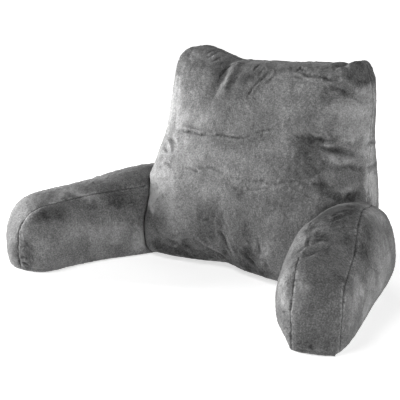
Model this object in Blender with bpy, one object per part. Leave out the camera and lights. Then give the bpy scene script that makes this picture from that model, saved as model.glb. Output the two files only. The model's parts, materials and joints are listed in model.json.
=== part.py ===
"""Reading pillow with arms: a leaning backrest and two stuffed arms that splay from its front corners.

Metres, +Z up. The origin is on the floor under the backrest. The sitter leans towards +Y, and the arms
reach towards -Y. Each filled compartment of the cover is one solid. Both arms are cut to the backrest's
own surface, where they are sewn on. The deep folds of the plush are part of the shape.
"""

import math
from typing import NamedTuple

import bmesh
import bpy
from mathutils import Vector

# Driving dimensions of the backrest. FOOT_LINE is the Y of the front panel's foot.
HALF_WIDTH = 0.242
BACK_HEIGHT = 0.440
BASE_DEPTH = 0.215
TOP_DEPTH = 0.098
FOOT_LINE = -0.100

# Driving dimensions of the arms, whose plush strip runs over the top and down the front end
ARM_SPLAY = math.radians(24.6)
STRIP_WIDTH = 0.096

SEAM_GAP = 0.0003
FLOOR = 0.0

# How finely each block is divided before it is shaped: the backrest's across, deep and high, and an arm's
# along, across and high
BACK_CELLS = (40, 9, 34)
ARM_CELLS = (28, 8, 12)


class SideRow(NamedTuple):
    """The backrest seen from the side, at one share of its height."""

    height: float
    front: float
    depth: float
    left: float
    right: float


SIDE_ROWS = (
    SideRow(0.00, 0.010, BASE_DEPTH - 0.012, HALF_WIDTH - 0.008, HALF_WIDTH - 0.008),
    SideRow(0.06, -0.003, BASE_DEPTH + 0.010, HALF_WIDTH + 0.002, HALF_WIDTH + 0.002),
    SideRow(0.20, -0.012, BASE_DEPTH + 0.022, HALF_WIDTH + 0.008, HALF_WIDTH + 0.008),
    SideRow(0.42, 0.010, BASE_DEPTH - 0.002, HALF_WIDTH + 0.012, HALF_WIDTH + 0.009),
    SideRow(0.60, 0.040, BASE_DEPTH - 0.038, HALF_WIDTH - 0.004, HALF_WIDTH - 0.002),
    SideRow(0.80, 0.072, BASE_DEPTH - 0.078, HALF_WIDTH, HALF_WIDTH),
    SideRow(1.00, 0.106, TOP_DEPTH, HALF_WIDTH + 0.009, HALF_WIDTH + 0.002),
)


class TopRow(NamedTuple):
    """How far the top edge of the backrest stands above its height, with a stuffed corner at each end."""

    x: float
    rise: float


TOP_ROWS = (
    TopRow(-0.250, 0.015),
    TopRow(-0.212, 0.023),
    TopRow(-0.165, 0.013),
    TopRow(-0.115, 0.000),
    TopRow(-0.060, 0.000),
    TopRow(0.020, 0.004),
    TopRow(0.100, 0.010),
    TopRow(0.165, 0.013),
    TopRow(0.210, 0.018),
    TopRow(0.245, 0.009),
)


class HemRow(NamedTuple):
    """How far the foot of the front panel comes forward, at one distance from the middle."""

    x: float
    forward: float


HEM_ROWS = (
    HemRow(-0.25, 0.032),
    HemRow(-0.15, 0.034),
    HemRow(-0.08, 0.020),
    HemRow(-0.02, -0.010),
    HemRow(0.03, 0.004),
    HemRow(0.08, 0.022),
    HemRow(0.15, 0.030),
    HemRow(0.25, 0.030),
)


class FoldRow(NamedTuple):
    """One fold of the front panel, from its start to its end. A negative depth is a ridge."""

    start_x: float
    start_z: float
    end_x: float
    end_z: float
    bow: float
    width: float
    depth: float


FOLD_ROWS = (
    # Pleats that fan down from the top seam beside the left corner
    FoldRow(-0.116, 0.455, -0.096, 0.375, -0.010, 0.012, 0.014),
    FoldRow(-0.088, 0.450, -0.078, 0.395, -0.006, 0.012, -0.006),
    FoldRow(-0.067, 0.445, -0.060, 0.390, -0.006, 0.010, 0.008),
    # The gathered right corner, with a crease under it
    FoldRow(0.196, 0.405, 0.246, 0.392, -0.006, 0.012, 0.013),
    # Creases across the panel at the height where the sitter's back bends it
    FoldRow(-0.185, 0.288, 0.120, 0.296, -0.004, 0.014, 0.006),
    FoldRow(0.150, 0.300, 0.246, 0.312, 0.004, 0.013, 0.011),
    FoldRow(0.190, 0.303, 0.246, 0.284, 0.006, 0.012, 0.013),
    FoldRow(-0.205, 0.222, 0.010, 0.206, -0.006, 0.016, 0.007),
    FoldRow(0.010, 0.206, 0.235, 0.214, 0.004, 0.015, 0.011),
    # Gathers that run down to the right at the foot
    FoldRow(-0.018, 0.150, 0.012, 0.040, -0.010, 0.013, 0.013),
    FoldRow(0.010, 0.120, 0.026, 0.030, -0.006, 0.012, -0.007),
    FoldRow(0.040, 0.110, 0.080, 0.022, -0.010, 0.012, 0.009),
    FoldRow(0.084, 0.120, 0.112, 0.022, -0.008, 0.014, -0.007),
    # The full lower left of the panel, which hangs over a tuck
    FoldRow(-0.200, 0.078, -0.060, 0.074, -0.006, 0.024, -0.012),
    FoldRow(-0.150, 0.024, -0.030, 0.020, 0.004, 0.014, 0.012),
)


class ArmRow(NamedTuple):
    """One cross-section of an arm, at a distance behind its front end."""

    behind: float
    inner_seam: float
    outer_seam: float
    inner_bulge: float
    outer_bulge: float
    outer_shift: float


class ArmShape(NamedTuple):
    """One arm: the foot of its front end, and what its stuffing does to the end and to the foot.

    The foot shares say how much of each panel's bulge is left on the floor. outer_back is how far the
    outer seam's end lies behind the inner one.
    """

    name: str
    end_x: float
    end_y: float
    inner_foot: float
    outer_foot: float
    outer_back: float
    rows: tuple


LEFT_ARM = ArmShape("arm_left", -0.410, -0.371, 0.75, 0.45, 0.016, (
    ArmRow(0.00, 0.132, 0.132, 0.056, 0.014, 0.000),
    ArmRow(0.06, 0.138, 0.139, 0.071, 0.028, 0.000),
    ArmRow(0.12, 0.142, 0.147, 0.048, 0.036, 0.000),
    ArmRow(0.20, 0.148, 0.160, 0.028, 0.042, 0.000),
    ArmRow(0.28, 0.153, 0.177, 0.026, 0.042, 0.000),
    ArmRow(0.36, 0.160, 0.185, 0.018, 0.034, 0.000),
    ArmRow(0.42, 0.164, 0.184, 0.012, 0.020, -0.016),
    ArmRow(0.47, 0.164, 0.180, 0.008, 0.006, -0.042),
))

RIGHT_ARM = ArmShape("arm_right", 0.420, -0.387, -0.20, 0.40, -0.008, (
    ArmRow(0.00, 0.138, 0.126, 0.020, 0.012, 0.000),
    ArmRow(0.06, 0.147, 0.126, 0.034, 0.018, 0.000),
    ArmRow(0.12, 0.160, 0.140, 0.042, 0.028, 0.000),
    ArmRow(0.18, 0.176, 0.176, 0.044, 0.034, 0.000),
    ArmRow(0.23, 0.182, 0.202, 0.040, 0.040, 0.000),
    ArmRow(0.29, 0.176, 0.199, 0.034, 0.045, 0.000),
    ArmRow(0.36, 0.163, 0.184, 0.024, 0.051, 0.000),
    ArmRow(0.43, 0.148, 0.172, 0.016, 0.047, -0.006),
    ArmRow(0.50, 0.140, 0.160, 0.008, 0.012, -0.040),
))


class DentRow(NamedTuple):
    """A soft dent (or, below zero, a swelling) of one arm panel: -1 inner, 0 the strip, 1 outer."""

    arm: str
    panel: int
    behind: float
    height: float
    length: float
    reach: float
    depth: float


DENT_ROWS = (
    DentRow("arm_left", -1, 0.045, 0.80, 0.040, 0.020, 0.005),
    DentRow("arm_left", -1, 0.190, 0.55, 0.060, 0.035, 0.004),
    DentRow("arm_left", 0, 0.215, 1.00, 0.020, 0.060, 0.004),
    DentRow("arm_right", 0, 0.185, 1.00, 0.012, 0.060, 0.004),
    DentRow("arm_right", 0, 0.260, 1.00, 0.012, 0.060, 0.005),
    DentRow("arm_right", -1, 0.120, 0.72, 0.014, 0.045, 0.004),
    DentRow("arm_right", 1, 0.200, 0.60, 0.022, 0.050, 0.005),
    DentRow("arm_right", 1, 0.330, 0.80, 0.024, 0.040, 0.005),
)


def column(rows, name, at):
    """A column of a table at any point, by a smooth curve through its rows."""
    keys = [row[0] for row in rows]
    values = [getattr(row, name) for row in rows]
    if at <= keys[0]:
        return values[0]
    if at >= keys[-1]:
        return values[-1]
    right = next(i for i, key in enumerate(keys) if key > at)
    left = right - 1

    def slope(i):
        before, after = max(i - 1, 0), min(i + 1, len(keys) - 1)
        return (values[after] - values[before]) / (keys[after] - keys[before])

    span = keys[right] - keys[left]
    t = (at - keys[left]) / span
    return (
        values[left] * (1 + 2 * t) * (1 - t) ** 2
        + slope(left) * span * t * (1 - t) ** 2
        + values[right] * (3 - 2 * t) * t * t
        + slope(right) * span * (t - 1) * t * t
    )


def blend(low, high, share):
    """The value that lies the given share of the way from low to high."""
    return low + (high - low) * share


def divided_block(cells):
    """A block from -1 to 1 whose edges along X, Y and Z are divided into the given cells."""
    block = bmesh.new()
    bmesh.ops.create_cube(block, size=2.0)
    for axis, count in enumerate(cells):
        along = [
            edge for edge in block.edges
            if abs(abs((edge.verts[1].co - edge.verts[0].co).normalized()[axis]) - 1) < 1e-4
        ]
        bmesh.ops.subdivide_edges(block, edges=along, cuts=count - 1, use_grid_fill=True)
    return block


def rounded(share, radii):
    """Moves a point of the block onto the same block with round edges.

    radii gives, for each axis, the share of the half size that the rounding takes at its low and high end.
    """
    zone = []
    for value, (low, high) in zip(share, radii):
        radius = low if value < 0 else high
        zone.append(max(0.0, abs(value) - (1 - radius)) / radius)
    length = math.sqrt(sum(part * part for part in zone))
    pull = max(zone) / length if length > 0 else 1.0
    moved = []
    for value, part, (low, high) in zip(share, zone, radii):
        radius = low if value < 0 else high
        inner = min(abs(value), 1 - radius)
        moved.append(math.copysign(inner + radius * part * pull, value))
    return moved


def cushion_object(name, block, material):
    """An object of that name from a finished block, shaded smooth."""
    mesh = bpy.data.meshes.new(name)
    bmesh.ops.recalc_face_normals(block, faces=block.faces)
    block.to_mesh(mesh)
    block.free()
    mesh.materials.append(material)
    mesh.shade_smooth()
    cushion = bpy.data.objects.new(name, mesh)
    bpy.context.scene.collection.objects.link(cushion)
    return cushion


def plush(name, color):
    """Short grey plush: rough, with no metal."""
    material = bpy.data.materials.new(name)
    material.use_nodes = True
    shader = material.node_tree.nodes["Principled BSDF"]
    shader.inputs["Base Color"].default_value = (*color, 1.0)
    shader.inputs["Roughness"].default_value = 0.95
    shader.inputs["Metallic"].default_value = 0.0
    return material


BACK_RADII = ((0.13, 0.13), (0.50, 0.55), (0.05, 0.16))
HEM_HEIGHT = 0.30
FRONT_CROWN = 0.022
REAR_CROWN = 0.034
SIDE_CROWN = 0.010


def backrest_point(share):
    """Where a point of the divided block lies on the backrest."""
    u, v, w = rounded(share, BACK_RADII)
    height = (w + 1) / 2
    x = u * column(SIDE_ROWS, "left" if u < 0 else "right", height)
    swell = math.sin(math.pi * min(1.0, height)) ** 0.6
    across = 1 - u * u
    front = column(SIDE_ROWS, "front", height)
    rear = front + column(SIDE_ROWS, "depth", height) + REAR_CROWN * across * swell
    front -= FRONT_CROWN * across * swell
    front -= column(HEM_ROWS, "forward", x) * max(0.0, 1 - height / HEM_HEIGHT)
    y = blend(front, rear, (v + 1) / 2)
    x += math.copysign(SIDE_CROWN * abs(u) ** 3 * (1 - v * v) * swell, u)
    z = height * (BACK_HEIGHT + column(TOP_ROWS, "rise", x))
    return Vector((x, FOOT_LINE + y, FLOOR + z))


def fold_depth(x, z, fold):
    """How deep one fold of the front panel is at a point of it."""
    length = math.hypot(fold.end_x - fold.start_x, fold.end_z - fold.start_z)
    along_x, along_z = (fold.end_x - fold.start_x) / length, (fold.end_z - fold.start_z) / length
    run = ((x - fold.start_x) * along_x + (z - fold.start_z) * along_z) / length
    t = min(1.0, max(0.0, run))
    beyond = (run - t) * length
    aside = (x - fold.start_x) * along_z - (z - fold.start_z) * along_x - 4 * fold.bow * t * (1 - t)
    near = math.exp(-(math.hypot(beyond, aside) / fold.width) ** 2)
    return fold.depth * near * (0.45 + 0.55 * math.sin(math.pi * t))


def crease_backrest(block):
    """Presses the folds into the front panel. What stands on the floor stays flat."""
    block.normal_update()
    moves = []
    for vert in block.verts:
        facing = min(1.0, max(0.0, 0.35 - vert.normal.y))
        depth = facing * sum(fold_depth(vert.co.x, vert.co.z, fold) for fold in FOLD_ROWS)
        moves.append((vert, vert.normal * -depth))
    for vert, move in moves:
        if vert.co.z > FLOOR + 0.001:
            vert.co += move
            vert.co.z = max(vert.co.z, FLOOR + 0.002)


def make_backrest(material):
    """The leaning cushion, flat where it stands on the floor."""
    block = divided_block(BACK_CELLS)
    for vert in block.verts:
        vert.co = backrest_point(vert.co)
    bmesh.ops.recalc_face_normals(block, faces=block.faces)
    crease_backrest(block)
    return cushion_object("backrest", block, material)


ARM_END_RADIUS = 0.078
ARM_HEIGHT_THERE = 0.150
STRIP_CROWN = 0.015
END_CROWN = 0.014
END_TAPER = 0.12
BELLY_HEIGHT = 0.30


def side_outline(along, high, arm_length):
    """Rounds the upper front corner of an arm's side, whose shares run from -1 to 1."""
    length_zone = 2 * ARM_END_RADIUS / arm_length
    height_zone = 2 * ARM_END_RADIUS / ARM_HEIGHT_THERE
    a = max(0.0, along - (1 - length_zone)) / length_zone
    b = max(0.0, high - (1 - height_zone)) / height_zone
    if a == 0 or b == 0:
        return along, high
    pull = max(a, b) / math.hypot(a, b)
    return 1 - length_zone + length_zone * a * pull, 1 - height_zone + height_zone * b * pull


def belly(height, foot):
    """The share of a panel's bulge at a share of its height: foot on the floor, 1 where it is fullest."""
    if height < BELLY_HEIGHT:
        return 1 - (1 - foot) * ((BELLY_HEIGHT - height) / BELLY_HEIGHT) ** 2
    rise = min(1.0, (height - BELLY_HEIGHT) / (1 - BELLY_HEIGHT))
    return math.sqrt(1 - rise ** 2.4)


def dent_depth(arm, panel, behind, height):
    """How deep an arm's dents are at a point of one of its panels."""
    depth = 0.0
    for dent in DENT_ROWS:
        if dent.arm == arm.name and dent.panel == panel:
            along = (behind - dent.behind) / dent.length
            up = 0.0 if panel == 0 else (height - dent.height) * ARM_HEIGHT_THERE / dent.reach
            depth += dent.depth * math.exp(-along ** 2 - up ** 2)
    return depth


def arm_point(share, arm):
    """Where a point of the divided block lies on an arm."""
    along, across, high = share
    side = math.copysign(1, arm.end_x)
    arm_length = arm.rows[-1].behind
    along_round, high_round = side_outline(along, high, arm_length)
    behind = arm_length * (1 - along_round) / 2
    height = (high_round + 1) / 2
    outer = (across + 1) / 2
    seam = blend(column(arm.rows, "inner_seam", behind), column(arm.rows, "outer_seam", behind), outer)
    near_end = max(0.0, along_round) ** 6
    strip_half = STRIP_WIDTH / 2 * (1 - END_TAPER * near_end * (1 - height))
    offset = across * strip_half + outer * column(arm.rows, "outer_shift", behind)
    bulge = column(arm.rows, "outer_bulge" if across > 0 else "inner_bulge", behind)
    full = bulge * belly(height, arm.outer_foot if across > 0 else arm.inner_foot)
    full -= dent_depth(arm, int(math.copysign(1, across)), behind, height)
    end_fade = min(1.0, max(0.0, (1 - along_round) * 6)) ** 0.5
    offset += math.copysign(full * end_fade * abs(across) ** 3, across)
    crown = 1 - across * across
    z = height * seam + (STRIP_CROWN - dent_depth(arm, 0, behind, height)) * crown * height ** 3
    behind -= END_CROWN * crown * near_end * math.sin(math.pi * (0.9 * height + 0.06)) ** 0.5
    behind += arm.outer_back * outer * near_end
    inward = Vector((-math.sin(ARM_SPLAY) * side, math.cos(ARM_SPLAY), 0))
    outward = Vector((math.cos(ARM_SPLAY) * side, math.sin(ARM_SPLAY), 0))
    return Vector((arm.end_x, arm.end_y, FLOOR + z)) + inward * behind + outward * offset


def grown_copy(source, gap):
    """A helper that is larger than a cushion by the gap all round, to cut its neighbours with."""
    mesh = source.data.copy()
    for vert in mesh.vertices:
        vert.co += vert.normal * gap
    helper = bpy.data.objects.new(source.name + "_clearance", mesh)
    helper.hide_render = True
    helper.display_type = "WIRE"
    bpy.context.scene.collection.objects.link(helper)
    return helper


def make_arm(arm, backrest_clearance, material):
    """A stuffed arm, cut at its rear to the backrest that it is sewn to."""
    block = divided_block(ARM_CELLS)
    for vert in block.verts:
        vert.co = arm_point(vert.co, arm)
    cushion = cushion_object(arm.name, block, material)
    sewn_end = cushion.modifiers.new("sewn_to_backrest", "BOOLEAN")
    sewn_end.operation = "DIFFERENCE"
    sewn_end.solver = "EXACT"
    sewn_end.object = backrest_clearance
    return cushion


def main():
    for leftover in list(bpy.data.objects):
        bpy.data.objects.remove(leftover)
    cover = plush("grey_plush", (0.17, 0.17, 0.17))
    backrest = make_backrest(cover)
    clearance = grown_copy(backrest, SEAM_GAP)
    for arm in (LEFT_ARM, RIGHT_ARM):
        make_arm(arm, clearance, cover)


main()
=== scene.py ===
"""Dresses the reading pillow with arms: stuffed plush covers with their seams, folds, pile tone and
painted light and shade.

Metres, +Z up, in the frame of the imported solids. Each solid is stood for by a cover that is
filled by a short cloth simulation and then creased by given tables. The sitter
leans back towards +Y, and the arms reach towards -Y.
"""

from __future__ import annotations

import json
import logging
import math
from dataclasses import dataclass, field
from enum import Enum
from typing import NamedTuple

import bmesh
import bpy
import numpy as np
from mathutils import Matrix, Vector, noise
from mathutils.bvhtree import BVHTree
from mathutils.kdtree import KDTree

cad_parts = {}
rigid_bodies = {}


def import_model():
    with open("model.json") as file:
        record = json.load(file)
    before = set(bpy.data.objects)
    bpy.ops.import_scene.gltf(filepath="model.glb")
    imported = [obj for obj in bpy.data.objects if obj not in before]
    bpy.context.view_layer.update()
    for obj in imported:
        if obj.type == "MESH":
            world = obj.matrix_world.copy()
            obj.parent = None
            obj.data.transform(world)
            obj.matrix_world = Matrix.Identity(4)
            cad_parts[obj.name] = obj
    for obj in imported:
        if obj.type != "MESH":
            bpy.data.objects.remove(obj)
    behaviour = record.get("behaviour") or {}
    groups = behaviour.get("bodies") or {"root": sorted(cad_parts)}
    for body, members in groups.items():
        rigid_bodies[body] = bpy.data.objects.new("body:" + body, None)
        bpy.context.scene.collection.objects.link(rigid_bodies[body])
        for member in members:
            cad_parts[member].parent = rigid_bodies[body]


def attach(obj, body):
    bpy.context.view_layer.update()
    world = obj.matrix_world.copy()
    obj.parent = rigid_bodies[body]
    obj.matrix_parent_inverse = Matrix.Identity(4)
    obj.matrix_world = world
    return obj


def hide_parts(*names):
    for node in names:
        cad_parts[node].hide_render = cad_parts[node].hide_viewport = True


LOG = logging.getLogger("reading_pillow")
BODY = "root"
MM = 0.001
NOISE_SEED = 3  # the vector noise of mathutils follows the clock unless it is seeded
FULL_GROOVE = 0.0017  # the depth of a seam that is drawn in as far as the arms' are
FOLD_FADE = 0.017  # how far from its end a fold has its full depth
TONE_STROKE_FADE = 0.025  # how far from its end a stroke that only tones, with brushed pile and painted light and shade, has its full tone

Point = tuple[float, float, float]


class FoldKind(Enum):
    """What a stroke does to the plush: sinks it, only tones it with brushed pile and painted light
    and shade, or raises it.
    """

    TROUGH = -1
    BRUSHED = 0
    RIDGE = 1


class Fold(NamedTuple):
    """One stroke along points on the cover, in millimetres: its width, depth and tone, the tone being
    partly parted pile and partly painted shade in troughs and painted highlight on ridges.
    """

    kind: FoldKind
    width: float
    depth: float
    tone: float
    points: tuple[Point, ...]


class NapAndLightPatch(NamedTuple):
    """A patch, in millimetres, made lighter (+) or darker: in some the pile lies another way, in
    others light and shade are painted.
    """

    tone: float
    centre: Point
    radii: Point
    edge: float = 1.5


class Seam(NamedTuple):
    """One sewn line of a cover, through points on its surface in millimetres."""

    name: str
    points: tuple[Point, ...]


def smooth_step(values: np.ndarray, low: float, high: float) -> np.ndarray:
    """Ramps values from 0 at low to 1 at high, with level ends.

    Args:
        values: The numbers to ramp.
        low: Where the ramp starts.
        high: Where the ramp ends.

    Returns:
        The ramped numbers.
    """
    share = np.clip((values - low) / (high - low), 0.0, 1.0)
    return share * share * (3 - 2 * share)


def noise_at(coords: np.ndarray, size: float, seed: float) -> np.ndarray:
    """Smooth noise from about -1 to 1 at each point.

    Args:
        coords: The points, one a row.
        size: The distance over which the noise changes.
        seed: Chooses another part of the noise.

    Returns:
        One number for each point.
    """
    shift = Vector((seed, 2.3 * seed, -1.7 * seed))
    return np.array([noise.noise(Vector(co) / size + shift) for co in coords])


def warped(coords: np.ndarray, size: float, amount: float, seed: float) -> np.ndarray:
    """Shifts points by smooth noise, so that a shape measured on them gets an irregular edge.

    Args:
        coords: The points, one a row.
        size: The distance over which the shift changes.
        amount: How far a point may shift.
        seed: Chooses another part of the noise.

    Returns:
        The shifted points.
    """
    shift = Vector((seed, -seed, 0.5 * seed))
    moves = np.array([noise.noise_vector(Vector(co) / size + shift) for co in coords])
    return coords + amount * moves


def mesh_surface(mesh: bpy.types.Mesh) -> BVHTree:
    """The surface of a mesh, to measure distances from.

    Args:
        mesh: The mesh.

    Returns:
        Its surface.
    """
    faces = [tuple(face.vertices) for face in mesh.polygons]
    return BVHTree.FromPolygons([tuple(vert.co) for vert in mesh.vertices], faces)


class SurfaceLine:
    """A smooth line that lies on a surface, in short steps."""

    def __init__(self, points: tuple[Point, ...], surface: BVHTree, step: float = 0.0025) -> None:
        """Draws a smooth curve through the points and lays it on the surface.

        Args:
            points: The points that the line passes, in millimetres in the row frame.
            surface: The surface that it lies on.
            step: The distance between the line's own points.
        """
        knots = [Vector(point) * MM for point in points]
        knots = [2 * knots[0] - knots[1], *knots, 2 * knots[-1] - knots[-2]]
        laid = []
        for before, start, end, after in zip(knots, knots[1:], knots[2:], knots[3:]):
            count = max(2, round((end - start).length / step))
            for i in range(count):
                t = i / count
                bend = 2 * start + (end - before) * t
                bend += (2 * before - 5 * start + 4 * end - after) * t ** 2
                bend += (3 * start - before - 3 * end + after) * t ** 3
                laid.append(surface.find_nearest(bend / 2)[0])
        laid.append(surface.find_nearest(knots[-2])[0])
        self.points = np.array(laid)
        steps = np.gradient(self.points, axis=0)
        self.tangents = steps / np.maximum(np.linalg.norm(steps, axis=1), 1e-9)[:, None]
        gaps = np.linalg.norm(np.diff(self.points, axis=0), axis=1)
        self.run = np.concatenate([[0.0], np.cumsum(gaps)])
        self.tree = KDTree(len(laid))
        for i, point in enumerate(laid):
            self.tree.insert(point, i)
        self.tree.balance()

    def near(
        self, coords: np.ndarray, reach: float
    ) -> tuple[np.ndarray, np.ndarray, np.ndarray, np.ndarray]:
        """Measures the points that lie near the line.

        Args:
            coords: The points, one a row.
            reach: How far from the line still counts.

        Returns:
            The numbers of the near points, their distance from the line, how far along it they lie,
            and the line's own nearest point.
        """
        low, high = self.points.min(0) - reach, self.points.max(0) + reach
        found = np.nonzero(((coords > low) & (coords < high)).all(1))[0]
        nearest = np.array([self.tree.find(coords[i])[1] for i in found], int)
        if not len(found):
            return found, np.zeros(0), np.zeros(0), nearest
        offset = coords[found] - self.points[nearest]
        ahead = (offset * self.tangents[nearest]).sum(1)
        half = 0.5 * self.run[-1] / max(1, len(self.run) - 1)
        inner = np.clip(ahead, -half, half)
        offset -= self.tangents[nearest] * inner[:, None]
        return found, np.linalg.norm(offset, axis=1), self.run[nearest] + inner, nearest


class Skin:
    """The vertices of one cover while its seams, folds, pile tone and painted light and shade are put
    in.
    """

    def __init__(self, mesh: bpy.types.Mesh, seed: float) -> None:
        """Reads the mesh.

        Args:
            mesh: The stuffed cover's own mesh.
            seed: Chooses the noise of this cover.
        """
        self.mesh = mesh
        self.seed = seed
        count = len(mesh.vertices)
        self.coords = np.empty(count * 3)
        mesh.vertices.foreach_get("co", self.coords)
        self.coords = self.coords.reshape(-1, 3)
        self.normals = np.empty(count * 3)
        mesh.vertices.foreach_get("normal", self.normals)
        self.normals = self.normals.reshape(-1, 3)
        self.tone = np.zeros(count)
        self.offset = np.zeros(count)
        bent = warped(self.coords, size=0.030, amount=0.0040, seed=seed)
        self.wavy = warped(bent, size=0.007, amount=0.0012, seed=seed + 5)
        tufts = noise_at(self.coords, size=0.0065, seed=seed + 60)
        self.mottle = 1 + 1.2 * np.clip(tufts, -0.6, 0.6)
        self.ragged = warped(self.coords, size=0.011, amount=0.0065, seed=seed + 3)
        bent = warped(self.coords, size=0.045, amount=0.018, seed=seed + 9)
        self.blotchy = warped(bent, size=0.012, amount=0.010, seed=seed + 14)

    def ruffle(self, pile: float, lump: float, clump: float) -> None:
        """Adds the pile's height and clumps, the filling's lumps and the blotches of a brushed nap.

        Args:
            pile: How far the pile stands out.
            lump: How high the filling's lumps are.
            clump: How high the pile's clumps are.
        """
        broad = noise_at(self.coords, size=0.075, seed=self.seed + 20)
        brushed = noise_at(self.blotchy, size=0.032, seed=self.seed + 31)
        clumps = noise_at(self.coords, size=0.0085, seed=self.seed + 47)
        fine = noise_at(self.coords, size=0.0045, seed=self.seed + 53)
        self.offset += pile + lump * broad + clump * (clumps + 0.7 * fine)
        self.tone += 0.03 * broad + 0.05 * np.clip(brushed * 2.5, -1, 1) + 0.015 * clumps

    def fold(self, fold: Fold, line: SurfaceLine, seed: float) -> None:
        """Presses one fold in, uneven along its length, and adds its tone: painted shade in a trough,
        a painted highlight on a ridge.

        Args:
            fold: The fold's size and tone.
            line: Its line on the surface.
            seed: Chooses how it wavers.
        """
        width, kind = fold.width * MM, fold.kind.value
        found, distance, along, _ = line.near(self.wavy if kind else self.ragged, 4 * width)
        if not len(found):
            return
        length = line.run[-1]
        fade = min(0.3 * length, FOLD_FADE if kind else TONE_STROKE_FADE)
        share = smooth_step(along, -0.3 * width, fade)
        share = share * (1 - smooth_step(along, length - fade, length + 0.3 * width))
        share *= 0.8 + 0.4 * np.sin(along / 0.011 + seed) * np.sin(along / 0.026 + 2 * seed)
        # A tone-only stroke lays brushed pile and painted light and shade without moving the plush
        if not kind:
            near = np.exp(-(distance / (0.7 * width)) ** 3)
            self.tone[found] += fold.tone * near * share * self.mottle[found]
            return
        near = np.exp(-(distance / (0.9 * width)) ** 2)
        shoulder = np.exp(-((distance - 2.0 * width) / (0.9 * width)) ** 2)
        self.offset[found] += 1.3 * kind * fold.depth * MM * (near - 0.30 * shoulder) * share
        # This tone paints shade into troughs and a highlight onto ridges, over the parted pile
        self.tone[found] += fold.tone * (near ** 1.5 - 0.12 * shoulder) * share

    def patch(self, patch: NapAndLightPatch) -> None:
        """Lightens or darkens one patch: brushed pile in some patches, painted light and shade in
        others.

        Args:
            patch: Its place, size and tone.
        """
        reach = (self.blotchy / MM - np.array(patch.centre)) / np.array(patch.radii)
        share = np.exp(-(reach ** 2).sum(1) ** patch.edge)
        self.tone += patch.tone * share * (0.7 + 0.3 * self.mottle)

    def settle(self, held: np.ndarray) -> None:
        """Moves the vertices by what was pressed in, but for the flat foot, and writes the mesh.

        Args:
            held: From 0 where a vertex is sewn to its neighbour to 1 where it is free.
        """
        on_floor = smooth_step(self.coords[:, 2], 0.001, 0.012)
        down = smooth_step(-self.normals[:, 2], 0.3, 0.9)
        free = held * (on_floor + (1 - on_floor) * (1 - down))
        self.coords += self.normals * (self.offset * free)[:, None]
        self.coords[:, 2] = np.maximum(self.coords[:, 2], 0.0)
        self.mesh.vertices.foreach_set("co", self.coords.ravel())
        # The tone holds the pile's own tone and the painted light and shade of the patches and folds
        nap = self.mesh.attributes.new("nap", "FLOAT", "POINT")
        nap.data.foreach_set("value", np.clip(0.5 + self.tone, 0.0, 1.0))
        self.mesh.update()


@dataclass(frozen=True)
class PlushFinish:
    """Short grey plush: deep tones where the pile stands and light where it lies, with painted light
    and shade in the same tone, and a faint sheen.
    """

    name: str = "grey_plush"
    ramp: tuple[tuple[float, float], ...] = (
        (0.00, 0.021), (0.25, 0.060), (0.50, 0.133), (0.75, 0.260), (1.00, 0.410)
    )
    roughness: float = 0.92
    sheen: float = 0.07
    sheen_roughness: float = 0.45
    pile_size: float = 0.0030
    clump_size: float = 0.0110
    streak_size: float = 0.0140
    blotch_size: float = 0.034
    bump: float = 0.6

    def build(self) -> bpy.types.Material:
        """Makes the material.

        Returns:
            The plush material.
        """
        material = bpy.data.materials.new(self.name)
        material.use_nodes = True
        nodes, links = material.node_tree.nodes, material.node_tree.links
        shader = nodes["Principled BSDF"]
        shader.inputs["Roughness"].default_value = self.roughness
        shader.inputs["Specular IOR Level"].default_value = 0.15
        shader.inputs["Sheen Weight"].default_value = self.sheen
        shader.inputs["Sheen Roughness"].default_value = self.sheen_roughness
        place = nodes.new("ShaderNodeTexCoord").outputs["Object"]
        # The cover's tone attribute, which holds painted light and shade as well as the pile's own
        # tone
        nap = nodes.new("ShaderNodeAttribute")
        nap.attribute_name = "nap"
        tone = nap.outputs["Fac"]
        layers = (
            (self.pile_size, 0.80, 2.0, 1.0), (self.clump_size, 0.09, 2.0, 1.0),
            (self.streak_size, 0.10, 2.0, 0.30), (self.blotch_size, 0.08, 4.0, 1.0),
        )
        pile = None
        for size, weight, detail, run in layers:
            brushed = nodes.new("ShaderNodeMapping")
            brushed.inputs["Scale"].default_value = (1 / size, 1 / size, run / size)
            links.new(place, brushed.inputs["Vector"])
            grain = nodes.new("ShaderNodeTexNoise")
            grain.inputs["Scale"].default_value = 1.0
            grain.inputs["Detail"].default_value = detail
            grain.inputs["Roughness"].default_value = 0.6
            links.new(brushed.outputs["Vector"], grain.inputs["Vector"])
            pile = pile or grain
            centred = nodes.new("ShaderNodeMath")
            centred.operation = "SUBTRACT"
            centred.inputs[1].default_value = 0.5
            links.new(grain.outputs["Fac"], centred.inputs[0])
            added = nodes.new("ShaderNodeMath")
            added.operation = "MULTIPLY_ADD"
            added.inputs[1].default_value = weight
            links.new(centred.outputs[0], added.inputs[0])
            links.new(tone, added.inputs[2])
            tone = added.outputs[0]
        ramp = nodes.new("ShaderNodeValToRGB")
        for i, (at, grey) in enumerate(self.ramp):
            stop = ramp.color_ramp.elements[i] if i < 2 else ramp.color_ramp.elements.new(at)
            stop.position = at
            stop.color = (grey, grey, grey, 1.0)
        links.new(tone, ramp.inputs["Fac"])
        links.new(ramp.outputs["Color"], shader.inputs["Base Color"])
        relief = nodes.new("ShaderNodeBump")
        relief.inputs["Strength"].default_value = self.bump
        relief.inputs["Distance"].default_value = 0.0015
        links.new(pile.outputs["Fac"], relief.inputs["Height"])
        links.new(relief.outputs["Normal"], shader.inputs["Normal"])
        return material


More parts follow.
